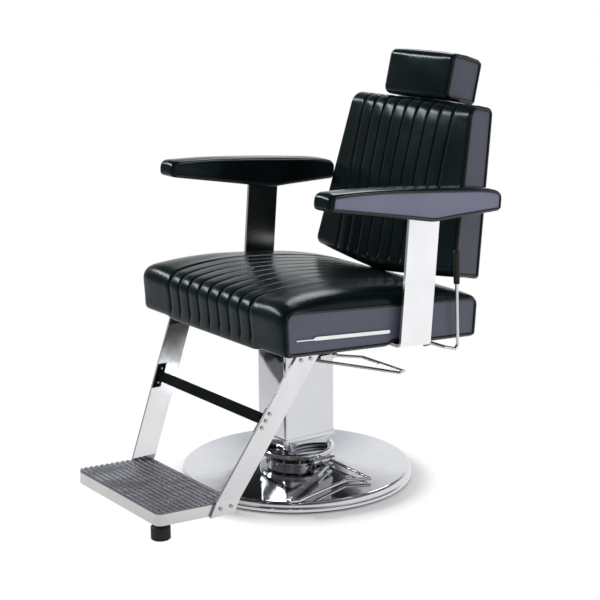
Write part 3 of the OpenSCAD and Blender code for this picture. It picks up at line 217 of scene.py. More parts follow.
def leather(name, colour, grain=0.16, gloss=0.14, seams=0.0):
    """Upholstery leather: pebbled grain and soft creases; seams adds a painted highlight, a lighter line beside each
    seam on the leather that faces up.
    """
    f = Finish(name, {"Specular IOR Level": 0.2, "Specular Tint": (0.66, 0.88, 1.0, 1)})
    pebbles = f.cells(620)
    fine = f.noise(1500, 2)
    creases = f.noise(26, 4, 0.55, f.stretched((1.0, 0.55, 1.0)))
    patches = f.noise(9, 2)
    hide = f.mix(f.between(patches, 0.35, 0.7), shade(colour, 0.75), shade(colour, 1.35))
    if seams:
        across = f.part("X")
        pitch = SEAM_PITCH * MM
        from_seam = f.node("ShaderNodeMath", {"operation": "PINGPONG"}, {0: across - 0.0011, 1: pitch / 2})
        within = f.node("ShaderNodeMath", {"operation": "LESS_THAN"}, {
            0: f.node("ShaderNodeMath", {"operation": "ABSOLUTE"}, {0: across}), 1: SEAM_LAST * MM + 0.004})
        # Painted highlight: a lighter line beside each seam, only where the leather faces up and the lamps would catch
        # the seam's edge
        upward = f.part("Z", f.node("ShaderNodeNewGeometry", output="Normal"))
        wear_and_highlight = f.between(from_seam, 0.0004, 0.0017, 1.0, 0.0) * within * f.between(upward, 0.12, 0.3)
        uneven = f.between(f.noise(120, 2), 0.3, 0.6, 0.55, 1.0)
        hide = f.mix(wear_and_highlight * uneven * seams, hide, SEAM_HIGHLIGHT_COLOUR)
    f.surface({
        "Base Color": hide,
        "Roughness": (gloss - 0.05) + patches * 0.1 + pebbles * 0.06,
        "Normal": f.relief(creases, 0.0022, 0.35,
                           f.relief(pebbles + fine * 0.25, 0.00035, grain)),
    })
    return f.material


def panel_vinyl(name, colour):
    """The flat side panels: smooth coated fabric over board, with a faint grain and handling marks."""
    f = Finish(name, {"Specular IOR Level": 0.5})
    grain = f.cells(900)
    marks = f.noise(16, 5, 0.6)
    cloud = f.noise(5, 2)
    f.surface({
        "Base Color": f.mix(f.between(cloud, 0.3, 0.7), shade(colour, 0.9), shade(colour, 1.1)),
        "Roughness": 0.36 + marks * 0.16,
        "Normal": f.relief(cloud, 0.003, 0.2, f.relief(grain, 0.0003, 0.18)),
    })
    return f.material


def piping_vinyl(name, colour):
    """Rolled welting: darker than the leather, with the fine rope of the cord showing through."""
    f = Finish(name, {"Specular IOR Level": 0.5, "Coat Weight": 0.2, "Coat Roughness": 0.2})
    rope = f.noise(240, 3)
    f.surface({
        "Base Color": f.mix(rope, shade(colour, 0.6), shade(colour, 1.2)),
        "Roughness": 0.28 + rope * 0.15,
        "Normal": f.relief(rope, 0.0006, 0.3),
    })
    return f.material


def chrome(name, tint, roughness=0.045, ripple=0.0006, turned=False):
    """Polished chrome plate: faint ripples under the plating, wiping haze and hairline marks."""
    f = Finish(name, {"Metallic": 1.0})
    haze = f.noise(7, 4, 0.6)
    wave = f.noise(11, 2)
    if turned:
        flat = f.node("ShaderNodeVectorMath", {"operation": "MULTIPLY"}, {0: f.place, 1: (1, 1, 0)})
        radius = f.node("ShaderNodeVectorMath", {"operation": "LENGTH"}, {0: flat}, output="Value")
        rings = f.node("ShaderNodeCombineXYZ", sockets={"X": radius})
        hairlines = f.noise(900, 3, 0.6, rings)
    else:
        hairlines = f.noise(420, 3, 0.6, f.stretched((1.0, 1.0, 0.06)))
    f.surface({
        "Base Color": f.mix(f.between(haze, 0.35, 0.75), shade(tint, 1.0), shade(tint, 0.93)),
        "Roughness": roughness + f.between(haze, 0.4, 0.8) * 0.05 + hairlines * 0.03,
        "Normal": f.relief(wave, ripple, 1.0, f.relief(hairlines, 0.00002, 0.3)),
    })
    return f.material


def polished_steel(name, tint, along=(1.0, 1.0, 0.03), roughness=0.16, painted_shade_side=False):
    """Flat polished bar: long grinding lines softened by buffing; with the side flag set, the +X face is painted dark,
    a painted reflection of the dark seat and back it faces.
    """
    f = Finish(name, {"Metallic": 1.0})
    lines = f.noise(700, 3, 0.7, f.stretched(along))
    cloud = f.noise(10, 3)
    metal = f.mix(f.between(cloud, 0.3, 0.7), shade(tint, 1.0), shade(tint, 0.92))
    if painted_shade_side:
        # Painted reflection: the +X face is darkened to stand in for the dark seat and back mirrored in it
        side = f.part("X", f.node("ShaderNodeTexCoord", output="Normal"))
        metal = f.mix(f.between(side, 0.5, 0.8), metal, shade(tint, 0.36))
    f.surface({
        "Base Color": metal,
        "Roughness": roughness + cloud * 0.06 + lines * 0.07,
        "Normal": f.relief(lines, 0.00006, 0.35, f.relief(cloud, 0.0012, 0.5)),
    })
    return f.material


def tread_alloy(name, tint):
    """Cast aluminium tread: worn bright on the ribs, dull and dirty between them."""
    f = Finish(name, {"Metallic": 1.0})
    fall = (f.part("Z") - TREAD_TOP) + (f.part("Y") - TREAD_FRONT) * TREAD_SLOPE
    wear_and_highlight = f.between(fall, -0.0022, -0.0002)
    scuffs = f.noise(34, 4, 0.65, f.stretched((1.0, 0.35, 1.0)))
    streaks = f.noise(160, 3, 0.7, f.stretched((0.25, 1.0, 1.0)))
    worn = (wear_and_highlight * f.between(scuffs, 0.38, 0.62)).clamped()
    f.surface({
        "Base Color": f.mix(worn, shade(tint, 0.62), shade(tint, 1.1)),
        "Roughness": 0.5 - worn * 0.16 + streaks * 0.12,
        "Normal": f.relief(streaks, 0.0003, 0.6, f.relief(scuffs, 0.0012, 0.5)),
    })
    return f.material


def black_paint(name, colour, coat=0.35):
    """Stoved black paint over sheet steel: orange peel and lighter dusty patches."""
    f = Finish(name, {"Specular IOR Level": 0.03 + 1.35 * coat, "Coat Weight": coat, "Coat Roughness": 0.12})
    peel = f.noise(230, 2)
    dust = f.noise(22, 5, 0.65)
    f.surface({
        "Base Color": f.mix(f.between(dust, 0.5, 0.8), shade(colour, 1.0), shade(colour, 2.2)),
        "Roughness": 0.26 + dust * 0.18,
        "Normal": f.relief(peel, 0.0002, 0.5),
    })
    return f.material


def moulded_rubber(name, colour):
    """Moulded rubber: matt, finely pitted, dusty where it is handled or trodden."""
    f = Finish(name, {"Specular IOR Level": 0.4})
    pits = f.noise(700, 4, 0.7)
    dust = f.noise(40, 4, 0.6)
    f.surface({
        "Base Color": f.mix(f.between(dust, 0.45, 0.8), shade(colour, 1.0), shade(colour, 2.4)),
        "Roughness": 0.48 + dust * 0.25,
        "Normal": f.relief(pits, 0.0003, 0.6, f.relief(dust, 0.0008, 0.3)),
    })
    return f.material


def machined_steel(name, tint):
    """Turned and milled steel parts: zinc-grey, with tool lines and light oil."""
    f = Finish(name, {"Metallic": 1.0})
    lines = f.noise(500, 3, 0.7, f.stretched((0.15, 1.0, 1.0)))
    oil = f.noise(28, 4, 0.6)
    f.surface({
        "Base Color": f.mix(oil, shade(tint, 0.8), shade(tint, 1.1)),
        "Roughness": 0.24 + oil * 0.16 + lines * 0.05,
        "Normal": f.relief(lines, 0.00012, 0.5),
    })
    return f.material


def bearing_bronze(name, tint):
    """Bearing bronze: warm, brighter where it rubs."""
    f = Finish(name, {"Metallic": 1.0})
    rub = f.noise(45, 4, 0.6)
    f.surface({
        "Base Color": f.mix(rub, shade(tint, 0.65), shade(tint, 1.15)),
        "Roughness": 0.42 - rub * 0.2,
        "Normal": f.relief(rub, 0.0003, 0.4),
    })
    return f.material


def cast_iron(name, colour):
    """Painted iron casting: sand texture under thick paint."""
    f = Finish(name, {"Specular IOR Level": 0.4})
    sand = f.noise(330, 5, 0.7)
    chips = f.cells(60)
    f.surface({
        "Base Color": f.mix(f.between(chips, 0.3, 0.7), shade(colour, 0.8), shade(colour, 1.5)),
        "Roughness": 0.5 + sand * 0.2,
        "Normal": f.relief(sand, 0.0009, 0.6),
    })
    return f.material


def birch_board(name, colour):
    """Birch plywood: long figure, small dark flecks."""
    f = Finish(name, {"Specular IOR Level": 0.3})
    figure = f.noise(30, 5, 0.6, f.stretched((0.12, 1.0, 1.0)))
    flecks = f.noise(420, 2, 0.5, f.stretched((0.2, 1.0, 1.0)))
    f.surface({
        "Base Color": f.mix(f.between(figure + flecks * 0.3, 0.45, 0.8),
                            shade(colour, 1.15), shade(colour, 0.6)),
        "Roughness": 0.55 + flecks * 0.2,
        "Normal": f.relief(flecks, 0.0002, 0.5),
    })
    return f.material


# Which finish each part of the frame gets
NODE_FINISHES = {
    "polished_chrome_turned": ("base_cover", "flange_ring"),
    "polished_chrome": ("pump_housing", "reservoir_cap", "column_shroud", "headrest_bar", "pump_pedal",
                        "recline_lever", "ram", "lock_handle", "lock_bracket"),
    "bright_bar": ("arm_strap_left",),
    # The right strap's inner face carries a painted dark reflection
    "painted_shade_bar": ("arm_strap_right",),
    "polished_bar": ("stay_left", "stay_right"),
    "bar_enamel": ("stay_crossbar",),
    "polished_rim": ("foot_plate",),
    "foot_alloy": ("foot_tread",),
    "stove_enamel": ("seat_frame", "back_frame", "lever_bearings", "swivel_hub"),
    "machined": ("housing_bolts", "filler_plug", "lift_cylinder", "pump_body", "pedal_pin", "pump_plunger",
                 "thrust_bearing", "hub_bolts", "strap_bolts", "footrest_screws", "foot_stem",
                 "recline_pins", "lock_cylinder", "lock_rod", "headrest_socket"),
    "bronze": ("cylinder_gland", "piston", "recline_bushes"),
    "iron": ("base_plate",),
    "rubber": ("floor_ring", "ram_wiper", "piston_seal", "foot_rubber"),
    "board": ("seat_board", "arm_core_left", "arm_core_right"),
    # The headrest board is coloured near black: painted shade in the gap under the headrest
    "board_painted_shade": ("headrest_board",),
}


# ---------------------------------------------------------------- settings

class ChairSizes(bpy.types.PropertyGroup):
    """Sizes of the upholstery that a maker would change."""
    seam_depth: FloatProperty(
        name="Seam depth", description="How far a sewn seam pulls the leather in",
        default=0.0032, min=0.0, max=0.01, unit="LENGTH")
    channel_swell: FloatProperty(
        name="Channel swell", description="How far a channel rises between its two seams",
        default=0.0022, min=0.0, max=0.012, unit="LENGTH")
    piping_radius: FloatProperty(
        name="Piping radius", description="Radius of the welting round the side panels",
        default=0.0034, min=0.001, max=0.005, unit="LENGTH")
    stuffing: FloatProperty(
        name="Stuffing", description="Air pressure that stands in for the stuffing of the cushions",
        default=4.0, min=0.0, max=12.0)


class ChairColours(bpy.types.PropertyGroup):
    """Colours of the chair."""
    leather: FloatVectorProperty(
        name="Leather", description="Colour of the seat, the back and the headrest",
        default=(0.0035, 0.0080, 0.0082, 1), size=4, subtype="COLOR", min=0, max=1)
    # Blue-grey vinyl, set lighter than the leather: part of that lightness is painted sheen, standing in for the
    # bright room the panels reflect
    side_panel: FloatVectorProperty(
        name="Side panels", description="Colour of the flat side panels",
        default=(0.104, 0.112, 0.157, 1), size=4, subtype="COLOR", min=0, max=1)
    chrome: FloatVectorProperty(
        name="Chrome", description="Tint of the plated parts",
        default=(0.68, 0.69, 0.72, 1), size=4, subtype="COLOR", min=0, max=1)
    steel: FloatVectorProperty(
        name="Steel", description="Tint of the polished bars",
        default=(0.88, 0.885, 0.90, 1), size=4, subtype="COLOR", min=0, max=1)


class StudioSettings(bpy.types.PropertyGroup):
    """Light and camera of the studio."""
    sky: FloatProperty(
        name="Room light", description="Strength of the white room round the chair", default=0.72, min=0.0, max=2.0)
    key_power: FloatProperty(
        name="Low strip light", description="Power of the low strip light on the sitter's right",
        default=560.0, min=0.0, max=2000.0, unit="POWER")
    top_power: FloatProperty(
        name="High softbox", description="Power of the softbox behind the sitter's right shoulder",
        default=26.0, min=0.0, max=500.0, unit="POWER")
    lens: FloatProperty(
        name="Lens", description="Focal length on a 36 mm sensor", default=92.24, min=10, max=300, unit="CAMERA")


# ---------------------------------------------------------------- drawing

def arc(cx, cy, r, start, end, steps):
    """Points on an arc, angles in degrees."""
    angles = [radians(start + (end - start) * i / steps) for i in range(steps + 1)]
    return [(cx + r * cos(a), cy + r * sin(a)) for a in angles]


def even(line, count):
    """A line drawn again with count points at even distances."""
    line = np.array(line, float)
    run = np.concatenate([[0], np.cumsum(np.linalg.norm(np.diff(line, axis=0), axis=1))])
    at = np.linspace(0, run[-1], count)
    return np.stack([np.interp(at, run, line[:, k]) for k in range(line.shape[1])], 1)


def smooth_step(value, low, high):
    t = np.clip((value - low) / (high - low), 0, 1)
    return t * t * (3 - 2 * t)


def make_mesh(name, points, faces, materials, slots=None):
    """A smooth-shaded object from points in millimetres that are already in the chair's frame."""
    mesh = bpy.data.meshes.new(name)
    mesh.from_pydata([tuple(p) for p in np.asarray(points, float) * MM], [], [tuple(int(i) for i in f) for f in faces])
    for material in materials:
        mesh.materials.append(material)
    if slots is not None:
        mesh.polygons.foreach_set("material_index", slots)
    mesh.polygons.foreach_set("use_smooth", [True] * len(mesh.polygons))
    mesh.update()
    obj = bpy.data.objects.new(name, mesh)
    bpy.context.scene.collection.objects.link(obj)
    return obj


def posed(pose, points):
    """Points in millimetres of a tilted frame, in millimetres of the chair's frame."""
    turn = np.array(pose.to_3x3())
    return np.asarray(points, float) @ turn.T + np.array(pose.translation) * 1000


def ring(centre, side, up, radius, sides):
    """Points on a circle."""
    return [centre + radius * (cos(a) * side + sin(a) * up)
            for a in np.linspace(0, 2 * pi, sides, endpoint=False)]


def bands(count, sides, closed=False):
    """Faces between neighbouring rings of points; closed joins the last ring to the first."""
    faces = []
    for i in range(count if closed else count - 1):
        here, after = i * sides, (i + 1) % count * sides
        for j in range(sides):
            k = (j + 1) % sides
            faces.append((here + j, here + k, after + k, after + j))
    return faces


def lids(count, sides):
    """The faces over the first and the last ring."""
    last = (count - 1) * sides
    return [tuple(range(sides))[::-1], tuple(range(last, last + sides))]


def tube(name, path, radius, material, sides=8):
    """A round cord along a closed path of points in millimetres."""
    ahead = np.roll(path, -1, 0) - np.roll(path, 1, 0)
    ahead /= np.linalg.norm(ahead, axis=1)[:, None]
    side = np.cross(ahead[0], [1.0, 0.3, 0.2])
    points = []
    for at, along in zip(path, ahead):
        side = side - along * side.dot(along)
        side /= np.linalg.norm(side)
        points += ring(at, side, np.cross(along, side), radius, sides)
    return make_mesh(name, points, bands(len(path), sides, closed=True), [material])


def lathe(name, base, axis, profile, material, sides=32):
    """A turned piece: a profile of (distance along the axis, radius) pairs in millimetres."""
    axis = np.array(axis, float) / np.linalg.norm(axis)
    side = np.cross(axis, [0.0, 1.0, 0.13])
    side /= np.linalg.norm(side)
    points = []
    for at, radius in profile:
        points += ring(np.array(base) + at * axis, side, np.cross(axis, side), radius, sides)
    return make_mesh(name, points, bands(len(profile), sides) + lids(len(profile), sides), [material])


class Bolster:
    """A stuffed body drawn across a row of stations, with a flat panel at each end.

    front and rear are the two halves of its side outline, which start and end at common points.
    place(x, a, b, n) turns a station and an outline point with its outward direction into a point.
    """

    def __init__(self, front, rear, stations, place, rungs, pose, panel_in):
        self.loop = np.concatenate([front, rear[-2:0:-1]])
        self.half = len(front)
        self.count = len(self.loop)
        ahead = np.roll(self.loop, -1, 0) - np.roll(self.loop, 1, 0)
        ahead /= np.linalg.norm(ahead, axis=1)[:, None]
        area = np.sum(self.loop[:, 0] * np.roll(self.loop[:, 1], -1) - np.roll(self.loop[:, 0], -1) * self.loop[:, 1])
        turn = 1 if area > 0 else -1
        normals = np.stack([ahead[:, 1] * turn, -ahead[:, 0] * turn], 1)
        self.stations = stations
        self.pose = pose
        points = [place(x, p[0], p[1], n) for x in stations for p, n in zip(self.loop, normals)]
        faces, slots = [], []
        m = self.count
        for i in range(len(stations) - 1):
            for j in range(m):
                k = (j + 1) % m
                faces.append((i * m + j, i * m + k, i * m + m + k, i * m + m + j)[::turn])
                slots.append(0)
        for base, flip in ((0, turn), ((len(stations) - 1) * m, -turn)):
            sign = -1 if base == 0 else 1
            previous = [base] * (rungs + 1)
            for i in range(1, self.half):
                if i < self.half - 1:
                    a, b = base + i, base + m - i
                    inner = len(points)
                    for k in range(1, rungs):
                        p = np.array(points[a]) * (1 - k / rungs) + np.array(points[b]) * (k / rungs)
                        points.append((p[0] - sign * panel_in, p[1], p[2]))
                    row = [a, *range(inner, inner + rungs - 1), b]
                else:
                    row = [base + self.half - 1] * (rungs + 1)
                for k in range(rungs):
                    face = list(dict.fromkeys((previous[k], row[k], row[k + 1], previous[k + 1])))
                    if len(face) > 2:
                        faces.append(tuple(face[::-flip]))
                        slots.append(1 if sign > 0 else 2)
                previous = row
        self.local = np.array(points)
        self.faces = faces
        self.slots = slots

    def border(self, side):
        """The loop of points round one side panel."""
        start = 0 if side < 0 else (len(self.stations) - 1) * self.count
        return self.local[start:start + self.count]

    def make(self, name, materials):
        return make_mesh(name, posed(self.pose, self.local), self.faces, materials, self.slots)


def stuff(obj, sewn, pressure, cap, frames=20):
    """Swells a cover like stuffing does: points marked as sewn stay, and no point moves more than cap."""
    group = obj.vertex_groups.new(name="sewn")
    for i in np.flatnonzero(sewn):
        group.add([int(i)], 1.0, "REPLACE")
    rest = coordinates(obj)
    cloth = obj.modifiers.new("Stuffing", "CLOTH")
    settings = cloth.settings
    settings.quality = 5
    settings.vertex_group_mass = "sewn"
    settings.use_pressure = True
    settings.uniform_pressure_force = pressure
    settings.shrink_min = 0.005
    settings.effector_weights.gravity = 0
    cloth.point_cache.frame_start, cloth.point_cache.frame_end = 1, frames
    scene = bpy.context.scene
    for frame in range(1, frames + 1):
        scene.frame_set(frame)
    graph = bpy.context.evaluated_depsgraph_get()
    swollen = coordinates(obj.evaluated_get(graph))
    obj.modifiers.remove(cloth)
    scene.frame_set(1)
    obj.vertex_groups.remove(group)
    move = smoothed(obj, swollen - rest, np.flatnonzero(sewn))
    length = np.linalg.norm(move, axis=1)[:, None]
    move *= np.minimum(1, (cap * MM) / np.maximum(length, 1e-9))
    write_coordinates(obj, rest + move)


def smoothed(obj, move, held, rounds=14):
    """Evens out how far neighbouring points move, so that the cover gets no sharp creases."""
    edges = np.zeros(len(obj.data.edges) * 2, np.int64)
    obj.data.edges.foreach_get("vertices", edges)
    first, second = edges.reshape(-1, 2).T
    count = np.bincount(edges, minlength=len(move))[:, None]
    for _ in range(rounds):
        around = np.zeros_like(move)
        np.add.at(around, first, move[second])
        np.add.at(around, second, move[first])
        move = 0.4 * move + 0.6 * around / np.maximum(count, 1)
        move[held] = 0
    return move


def coordinates(obj):
    flat = np.zeros(len(obj.data.vertices) * 3, np.float64)
    obj.data.vertices.foreach_get("co", flat)
    return flat.reshape(-1, 3)


def write_coordinates(obj, points):
    obj.data.vertices.foreach_set("co", np.asarray(points, float).ravel())
    obj.data.update()


def subdivide(obj):
    """Applies one subdivision."""
    modifier = obj.modifiers.new("Smooth", "SUBSURF")
    modifier.levels = 1
    graph = bpy.context.evaluated_depsgraph_get()
    mesh = bpy.data.meshes.new_from_object(obj.evaluated_get(graph))
    obj.modifiers.remove(modifier)
    old = obj.data
    obj.data = mesh
    mesh.name = old.name
    bpy.data.meshes.remove(old)


def near_seam(x):
    """Where the nearest seam lies."""
    return np.clip(np.round(x / SEAM_PITCH), -SEAM_LIMIT, SEAM_LIMIT) * SEAM_PITCH


def sew_channels(obj, pose, depth, where):
    """Pulls narrow seams into a cover; where(local points) says how much of a seam each point gets."""
    points = coordinates(obj)
    back = pose.inverted()
    local = (points @ np.array(back.to_3x3()).T + np.array(back.translation)) * 1000
    normals = np.zeros(len(points) * 3)
    obj.data.vertices.foreach_get("normal", normals)
    normals = normals.reshape(-1, 3)
    pull = np.exp(-((local[:, 0] - near_seam(local[:, 0])) / 2.6) ** 2) * where(local)
    write_coordinates(obj, points - normals * (pull * depth)[:, None])


def channel_stations(half, outer=16):
    """Stations across a channelled cover, from one side to the other, closer together at the seams."""
    steps = np.array([0, 1.4, 3.4, 7, 13, 21, 29, 35, 38.6, 40.6])
    middle = np.concatenate([k * SEAM_PITCH + steps for k in range(-SEAM_LIMIT, SEAM_LIMIT)] + [[SEAM_LAST]])
    edge = np.array([half - 8, half - 5, half - 2.2, half])
    side = np.linspace(SEAM_LAST, half - 8, outer)[1:-1]
    right = np.concatenate([side, edge])
    return np.concatenate([-right[::-1], middle, right])


def channel_rise(x):
    """0 on a seam and 1 in the middle of a channel."""
    if abs(x) >= SEAM_LAST:
        return min(1.0, sqrt(max(0.0, abs(x) - SEAM_LAST) / 12))
    return abs(sin(pi * x / SEAM_PITCH)) ** 0.42


def side_rounding(x, half, radius):
    """How far the cover's edge is rounded off near its side panels."""
    over = abs(x) - (half - radius)
    return 0.0 if over < 0 else radius - sqrt(max(0.0, radius * radius - over * over))


def make_piping(name, bolster, material, radius, body):
    """A welt round both side panels of a cover, as one piece."""
    loops = []
    for side in (-1, 1):
        loop = posed(bolster.pose, even(np.concatenate([bolster.border(side), bolster.border(side)[:1]]), 200)[:-1])
        loops.append(tube(name + ("_a" if side < 0 else ""), loop, radius / MM, material))
    joined = join(loops[1], loops[0])
    joined.name = name
    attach(joined, body)
    return joined


def join(target, *others):
    """Joins objects into the first one."""
    with bpy.context.temp_override(active_object=target, selected_editable_objects=[target, *others]):
        bpy.ops.object.join()
    return target


# ---------------------------------------------------------------- operators

class CHAIR_OT_stage(bpy.types.Operator):
    """Sets up the floor, the white room, the softboxes and the camera"""
    bl_idname = "chair.stage"
    bl_label = "Studio"

    def execute(self, context):
        scene = context.scene
        studio = scene.chair_studio
        scene.view_settings.view_transform = "Standard"
        self.make_floor()
        self.make_room(scene, studio)
        for name, place, target, size, power in (
                ("low_strip", (-8.5, -6.0, 6.2), (0, -0.2, 0.5), (6.2, 1.3), studio.key_power),
                ("high_softbox", (-1.7, 1.9, 2.7), (0, 0, 0.5), (1.3, 1.3), studio.top_power)):
            self.make_softbox(scene, name, place, target, size, power)
        self.make_camera(scene, studio)
        return {"FINISHED"}

    def make_floor(self):
        f = Finish("studio_floor", {"Roughness": 1.0, "Specular IOR Level": 0.0})
        seen, mirrored, ahead = f.ray("Camera"), f.ray("Glossy"), f.part("Y")
        sweep = f.between(ahead, -1.45, -1.1, 0.0, 0.45) + f.between(ahead, -0.5, 0.1, 0.0, 0.55)
        white = (0.98, 0.98, 0.98, 1)
        paper = f.mix(mirrored, (0.80, 0.80, 0.80, 1), f.mix(sweep, (0.20, 0.20, 0.21, 1), white))
        f.surface({"Base Color": f.mix(seen, paper, white)})
        away = f.node("ShaderNodeVectorMath", {"operation": "DISTANCE"}, {0: f.place, 1: SHADOW_MIDDLE},
                      output="Value")
        glow = f.node("ShaderNodeEmission", sockets={"Color": WHITE})
        blend = f.node("ShaderNodeMixShader", sockets={
            0: f.between(away, 0.285, 0.335, 0.1, 1.0) * seen + mirrored * sweep * 0.93,
            1: Link(f, f.shader.outputs[0]), 2: glow})
        output = next(n for n in f.tree.nodes if n.type == "OUTPUT_MATERIAL")
        f.tree.links.new(blend.socket, output.inputs["Surface"])
        corners = [(x * FLOOR_HALF, y * FLOOR_HALF, FLOOR_HEIGHT) for x, y in ((-1, -1), (1, -1), (1, 1), (-1, 1))]
        floor = make_mesh("studio_floor", corners, [(0, 1, 2, 3)], [f.material])

    def make_room(self, scene, studio):
        """White walls behind the chair, a dark one in front of it, a dark ceiling and a dark doorway with a
        grey screen on the sitter's right, seen only in reflections."""
        f = Room("white_room")
        scene.world = f.world
        x, y, z = [f.part(axis) for axis in "XYZ"]
        height = f.node("ShaderNodeValToRGB", {"stops": [
            (0.0, (1, 1, 1)), (0.36, (1, 1, 1)), (0.52, (0.20, 0.205, 0.215)), (0.8, (0.12, 0.123, 0.13)),
            (1.0, (0.4, 0.405, 0.415))]}, {"Fac": z})
        turn = 0 - y / x
        right = f.between(x, -0.3, -0.2, 1.0, 0.0)
        beside = f.between(turn, 0.590, 0.605) * f.between(turn, 0.845, 0.860, 1.0, 0.0) * right
        doorway = beside * f.between(z, 0.36, 0.375)
        lit = f.between(y, -0.45, 0.25, 0.16, 1.0) * (1 - 0.97 * doorway)
        screen = f.between(turn, 0.57, 0.65) * f.between(turn, 0.79, 0.87, 1.0, 0.0) * right
        walls = f.mix(screen * f.between(z, 0.08, 0.20) * 0.7, height, (0.42, 0.46, 0.52, 1))
        room = f.mix(lit, (0, 0, 0, 1), walls)
        lamp = (studio.sky, studio.sky, studio.sky * 1.02, 1)
        f.surface({"Color": f.mix(f.ray("Camera"), f.mix(f.ray("Glossy"), lamp, room), WHITE)})

    def make_softbox(self, scene, name, place, target, size, power):
        light = bpy.data.lights.new(name, "AREA")
        light.shape = "RECTANGLE"
        light.size, light.size_y = size
        light.energy = power
        lamp = bpy.data.objects.new(name, light)
        lamp.location = place
        lamp.rotation_euler = (Vector(target) - Vector(place)).to_track_quat("-Z", "Y").to_euler()
        scene.collection.objects.link(lamp)

    def make_camera(self, scene, studio):
        data = bpy.data.cameras.new("camera")
        data.sensor_width = 36
        data.lens = studio.lens
        data.clip_end = 100
        camera = bpy.data.objects.new("camera", data)
        turn = Euler((radians(CAMERA_TILT), 0, radians(CAMERA_TURN))).to_matrix()
        turn = turn @ Matrix.Rotation(radians(CAMERA_ROLL), 3, "Z")
        camera.matrix_world = Matrix.Translation(CAMERA_PLACE) @ turn.to_4x4()
        scene.collection.objects.link(camera)
        scene.camera = camera


class CHAIR_OT_metalwork(bpy.types.Operator):
    """Gives every part of the frame its finish"""
    bl_idname = "chair.metalwork"
    bl_label = "Metalwork"

    def execute(self, context):
        colours = context.scene.chair_colours
        finishes = {
            "polished_chrome_turned": chrome("polished_chrome_turned", colours.chrome, turned=True),
            "polished_chrome": chrome("polished_chrome", colours.chrome),
            "polished_bar": polished_steel("polished_bar", shade(colours.steel, 0.93)),
            "bright_bar": polished_steel("bright_bar", shade(colours.steel, 1.1)),
            "painted_shade_bar": polished_steel("painted_shade_bar", shade(colours.steel, 1.1), painted_shade_side=True),
            "bar_enamel": black_paint("bar_enamel", (0.004, 0.006, 0.006, 1), 0.0),
            "polished_rim": polished_steel("polished_rim", (0.82, 0.81, 0.80, 1), (0.05, 0.05, 1.0), 0.2),
            "foot_alloy": tread_alloy("foot_alloy", (0.42, 0.43, 0.47, 1)),
            "stove_enamel": black_paint("stove_enamel", (0.012, 0.012, 0.013, 1)),
            "machined": machined_steel("machined", (0.5, 0.5, 0.51, 1)),
            "bronze": bearing_bronze("bronze", (0.55, 0.36, 0.16, 1)),
            "iron": cast_iron("iron", (0.02, 0.02, 0.022, 1)),
            "rubber": moulded_rubber("rubber", (0.01, 0.01, 0.011, 1)),
            "board": birch_board("board", (0.5, 0.34, 0.2, 1)),
            # Near-black board: painted shade for the gap under the headrest
            "board_painted_shade": birch_board("board_painted_shade", (0.006, 0.006, 0.006, 1)),
        }
        for name, nodes in NODE_FINISHES.items():
            for node in nodes:
                for slot in NODES[node].material_slots:
                    slot.material = finishes[name]
        return {"FINISHED"}


def upholstery(scene):
    """The leathers, panels and welting: made for the first cover, and found by name after that."""
    if "leather" not in bpy.data.materials:
        colours = scene.chair_colours
        leather("channelled_leather", colours.leather, 0.22, 0.2, 1.0)
        # The side-panel vinyl comes in two more copies: a lighter one on the arms' outer sides as painted light, and a
        # darker one on the back and headrest as painted shade
        panel_vinyl("arm_panel_painted_light", shade(colours.side_panel, 1.95))
        panel_vinyl("back_panel_painted_shade", shade(colours.side_panel, 0.8))
        leather("leather", colours.leather)
        panel_vinyl("side_panel", colours.side_panel)
        piping_vinyl("piping", (0.004, 0.0045, 0.005, 1))
    return bpy.data.materials


class CHAIR_OT_seat(bpy.types.Operator):
    """Makes the seat's channelled cover, its side panels and its piping"""
    bl_idname = "chair.seat"
    bl_label = "Seat"

    def execute(self, context):
        sizes = context.scene.chair_sizes
        covers = upholstery(context.scene)
        front, rear, low, top = SEAT_FRONT, SEAT_REAR, SEAT_LOW, SEAT_TOP
        over = even([(rear, 36)] + arc(rear - 22, top - 22, 22, 0, 90, 6)
                    + arc(front + 27, top - 27, 27, 90, 180, 9) + [(front, 36)], 92)
        under = even([(rear, 36)] + arc(rear - 8, low + 8, 8, 0, -90, 3)
                     + arc(front + 12, low + 12, 12, 270, 180, 5) + [(front, 36)], 92)
        rise = sizes.channel_swell / MM

        def place(x, y, h, n):
            shoulder = 1 - 0.35 * (x / SEAT_HALF) ** 24
            bow = (SEAT_BOW * shoulder * (0.3 + 0.7 * smooth_step(h, low, 66))
                   * (1 - smooth_step(y, front + 8, front + 150)))
            dome = SEAT_CROWN * (1 - (x / SEAT_HALF) ** 16) * seat_share(x, y) * smooth_step(h, 28, top)
            dome -= seat_lip(x, y) * (1 - smooth_step(h, low, 40))
            sewn = seat_seams(np.array([[x, y, h]]))[0]
            d = rise * sewn * (channel_rise(x) - 1) - side_rounding(x, SEAT_HALF, 7)
            return (x, y + n[0] * d - bow, h + n[1] * d + dome)

        body = Bolster(over, under, channel_stations(SEAT_HALF), place, 12, SEAT_POSE, 0.8)
        panel = covers["side_panel"]
        cover = body.make("seat_cover", [covers["channelled_leather"], panel, panel])
        x, h = body.local[:, 0], body.local[:, 2]
        on_seam = np.abs(x - near_seam(x)) < 0.5
        sewn = (on_seam & (seat_seams(body.local) > 0.3)) | (h < low + 4) | (np.abs(x) > SEAT_HALF - 3)
        stuff(cover, sewn, sizes.stuffing, 4)
        subdivide(cover)
        sew_channels(cover, SEAT_POSE, sizes.seam_depth, seat_seams)
        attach(cover, "seat")
        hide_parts("seat_cushion")
        make_piping("seat_piping", body, covers["piping"], sizes.piping_radius, "seat")
        return {"FINISHED"}


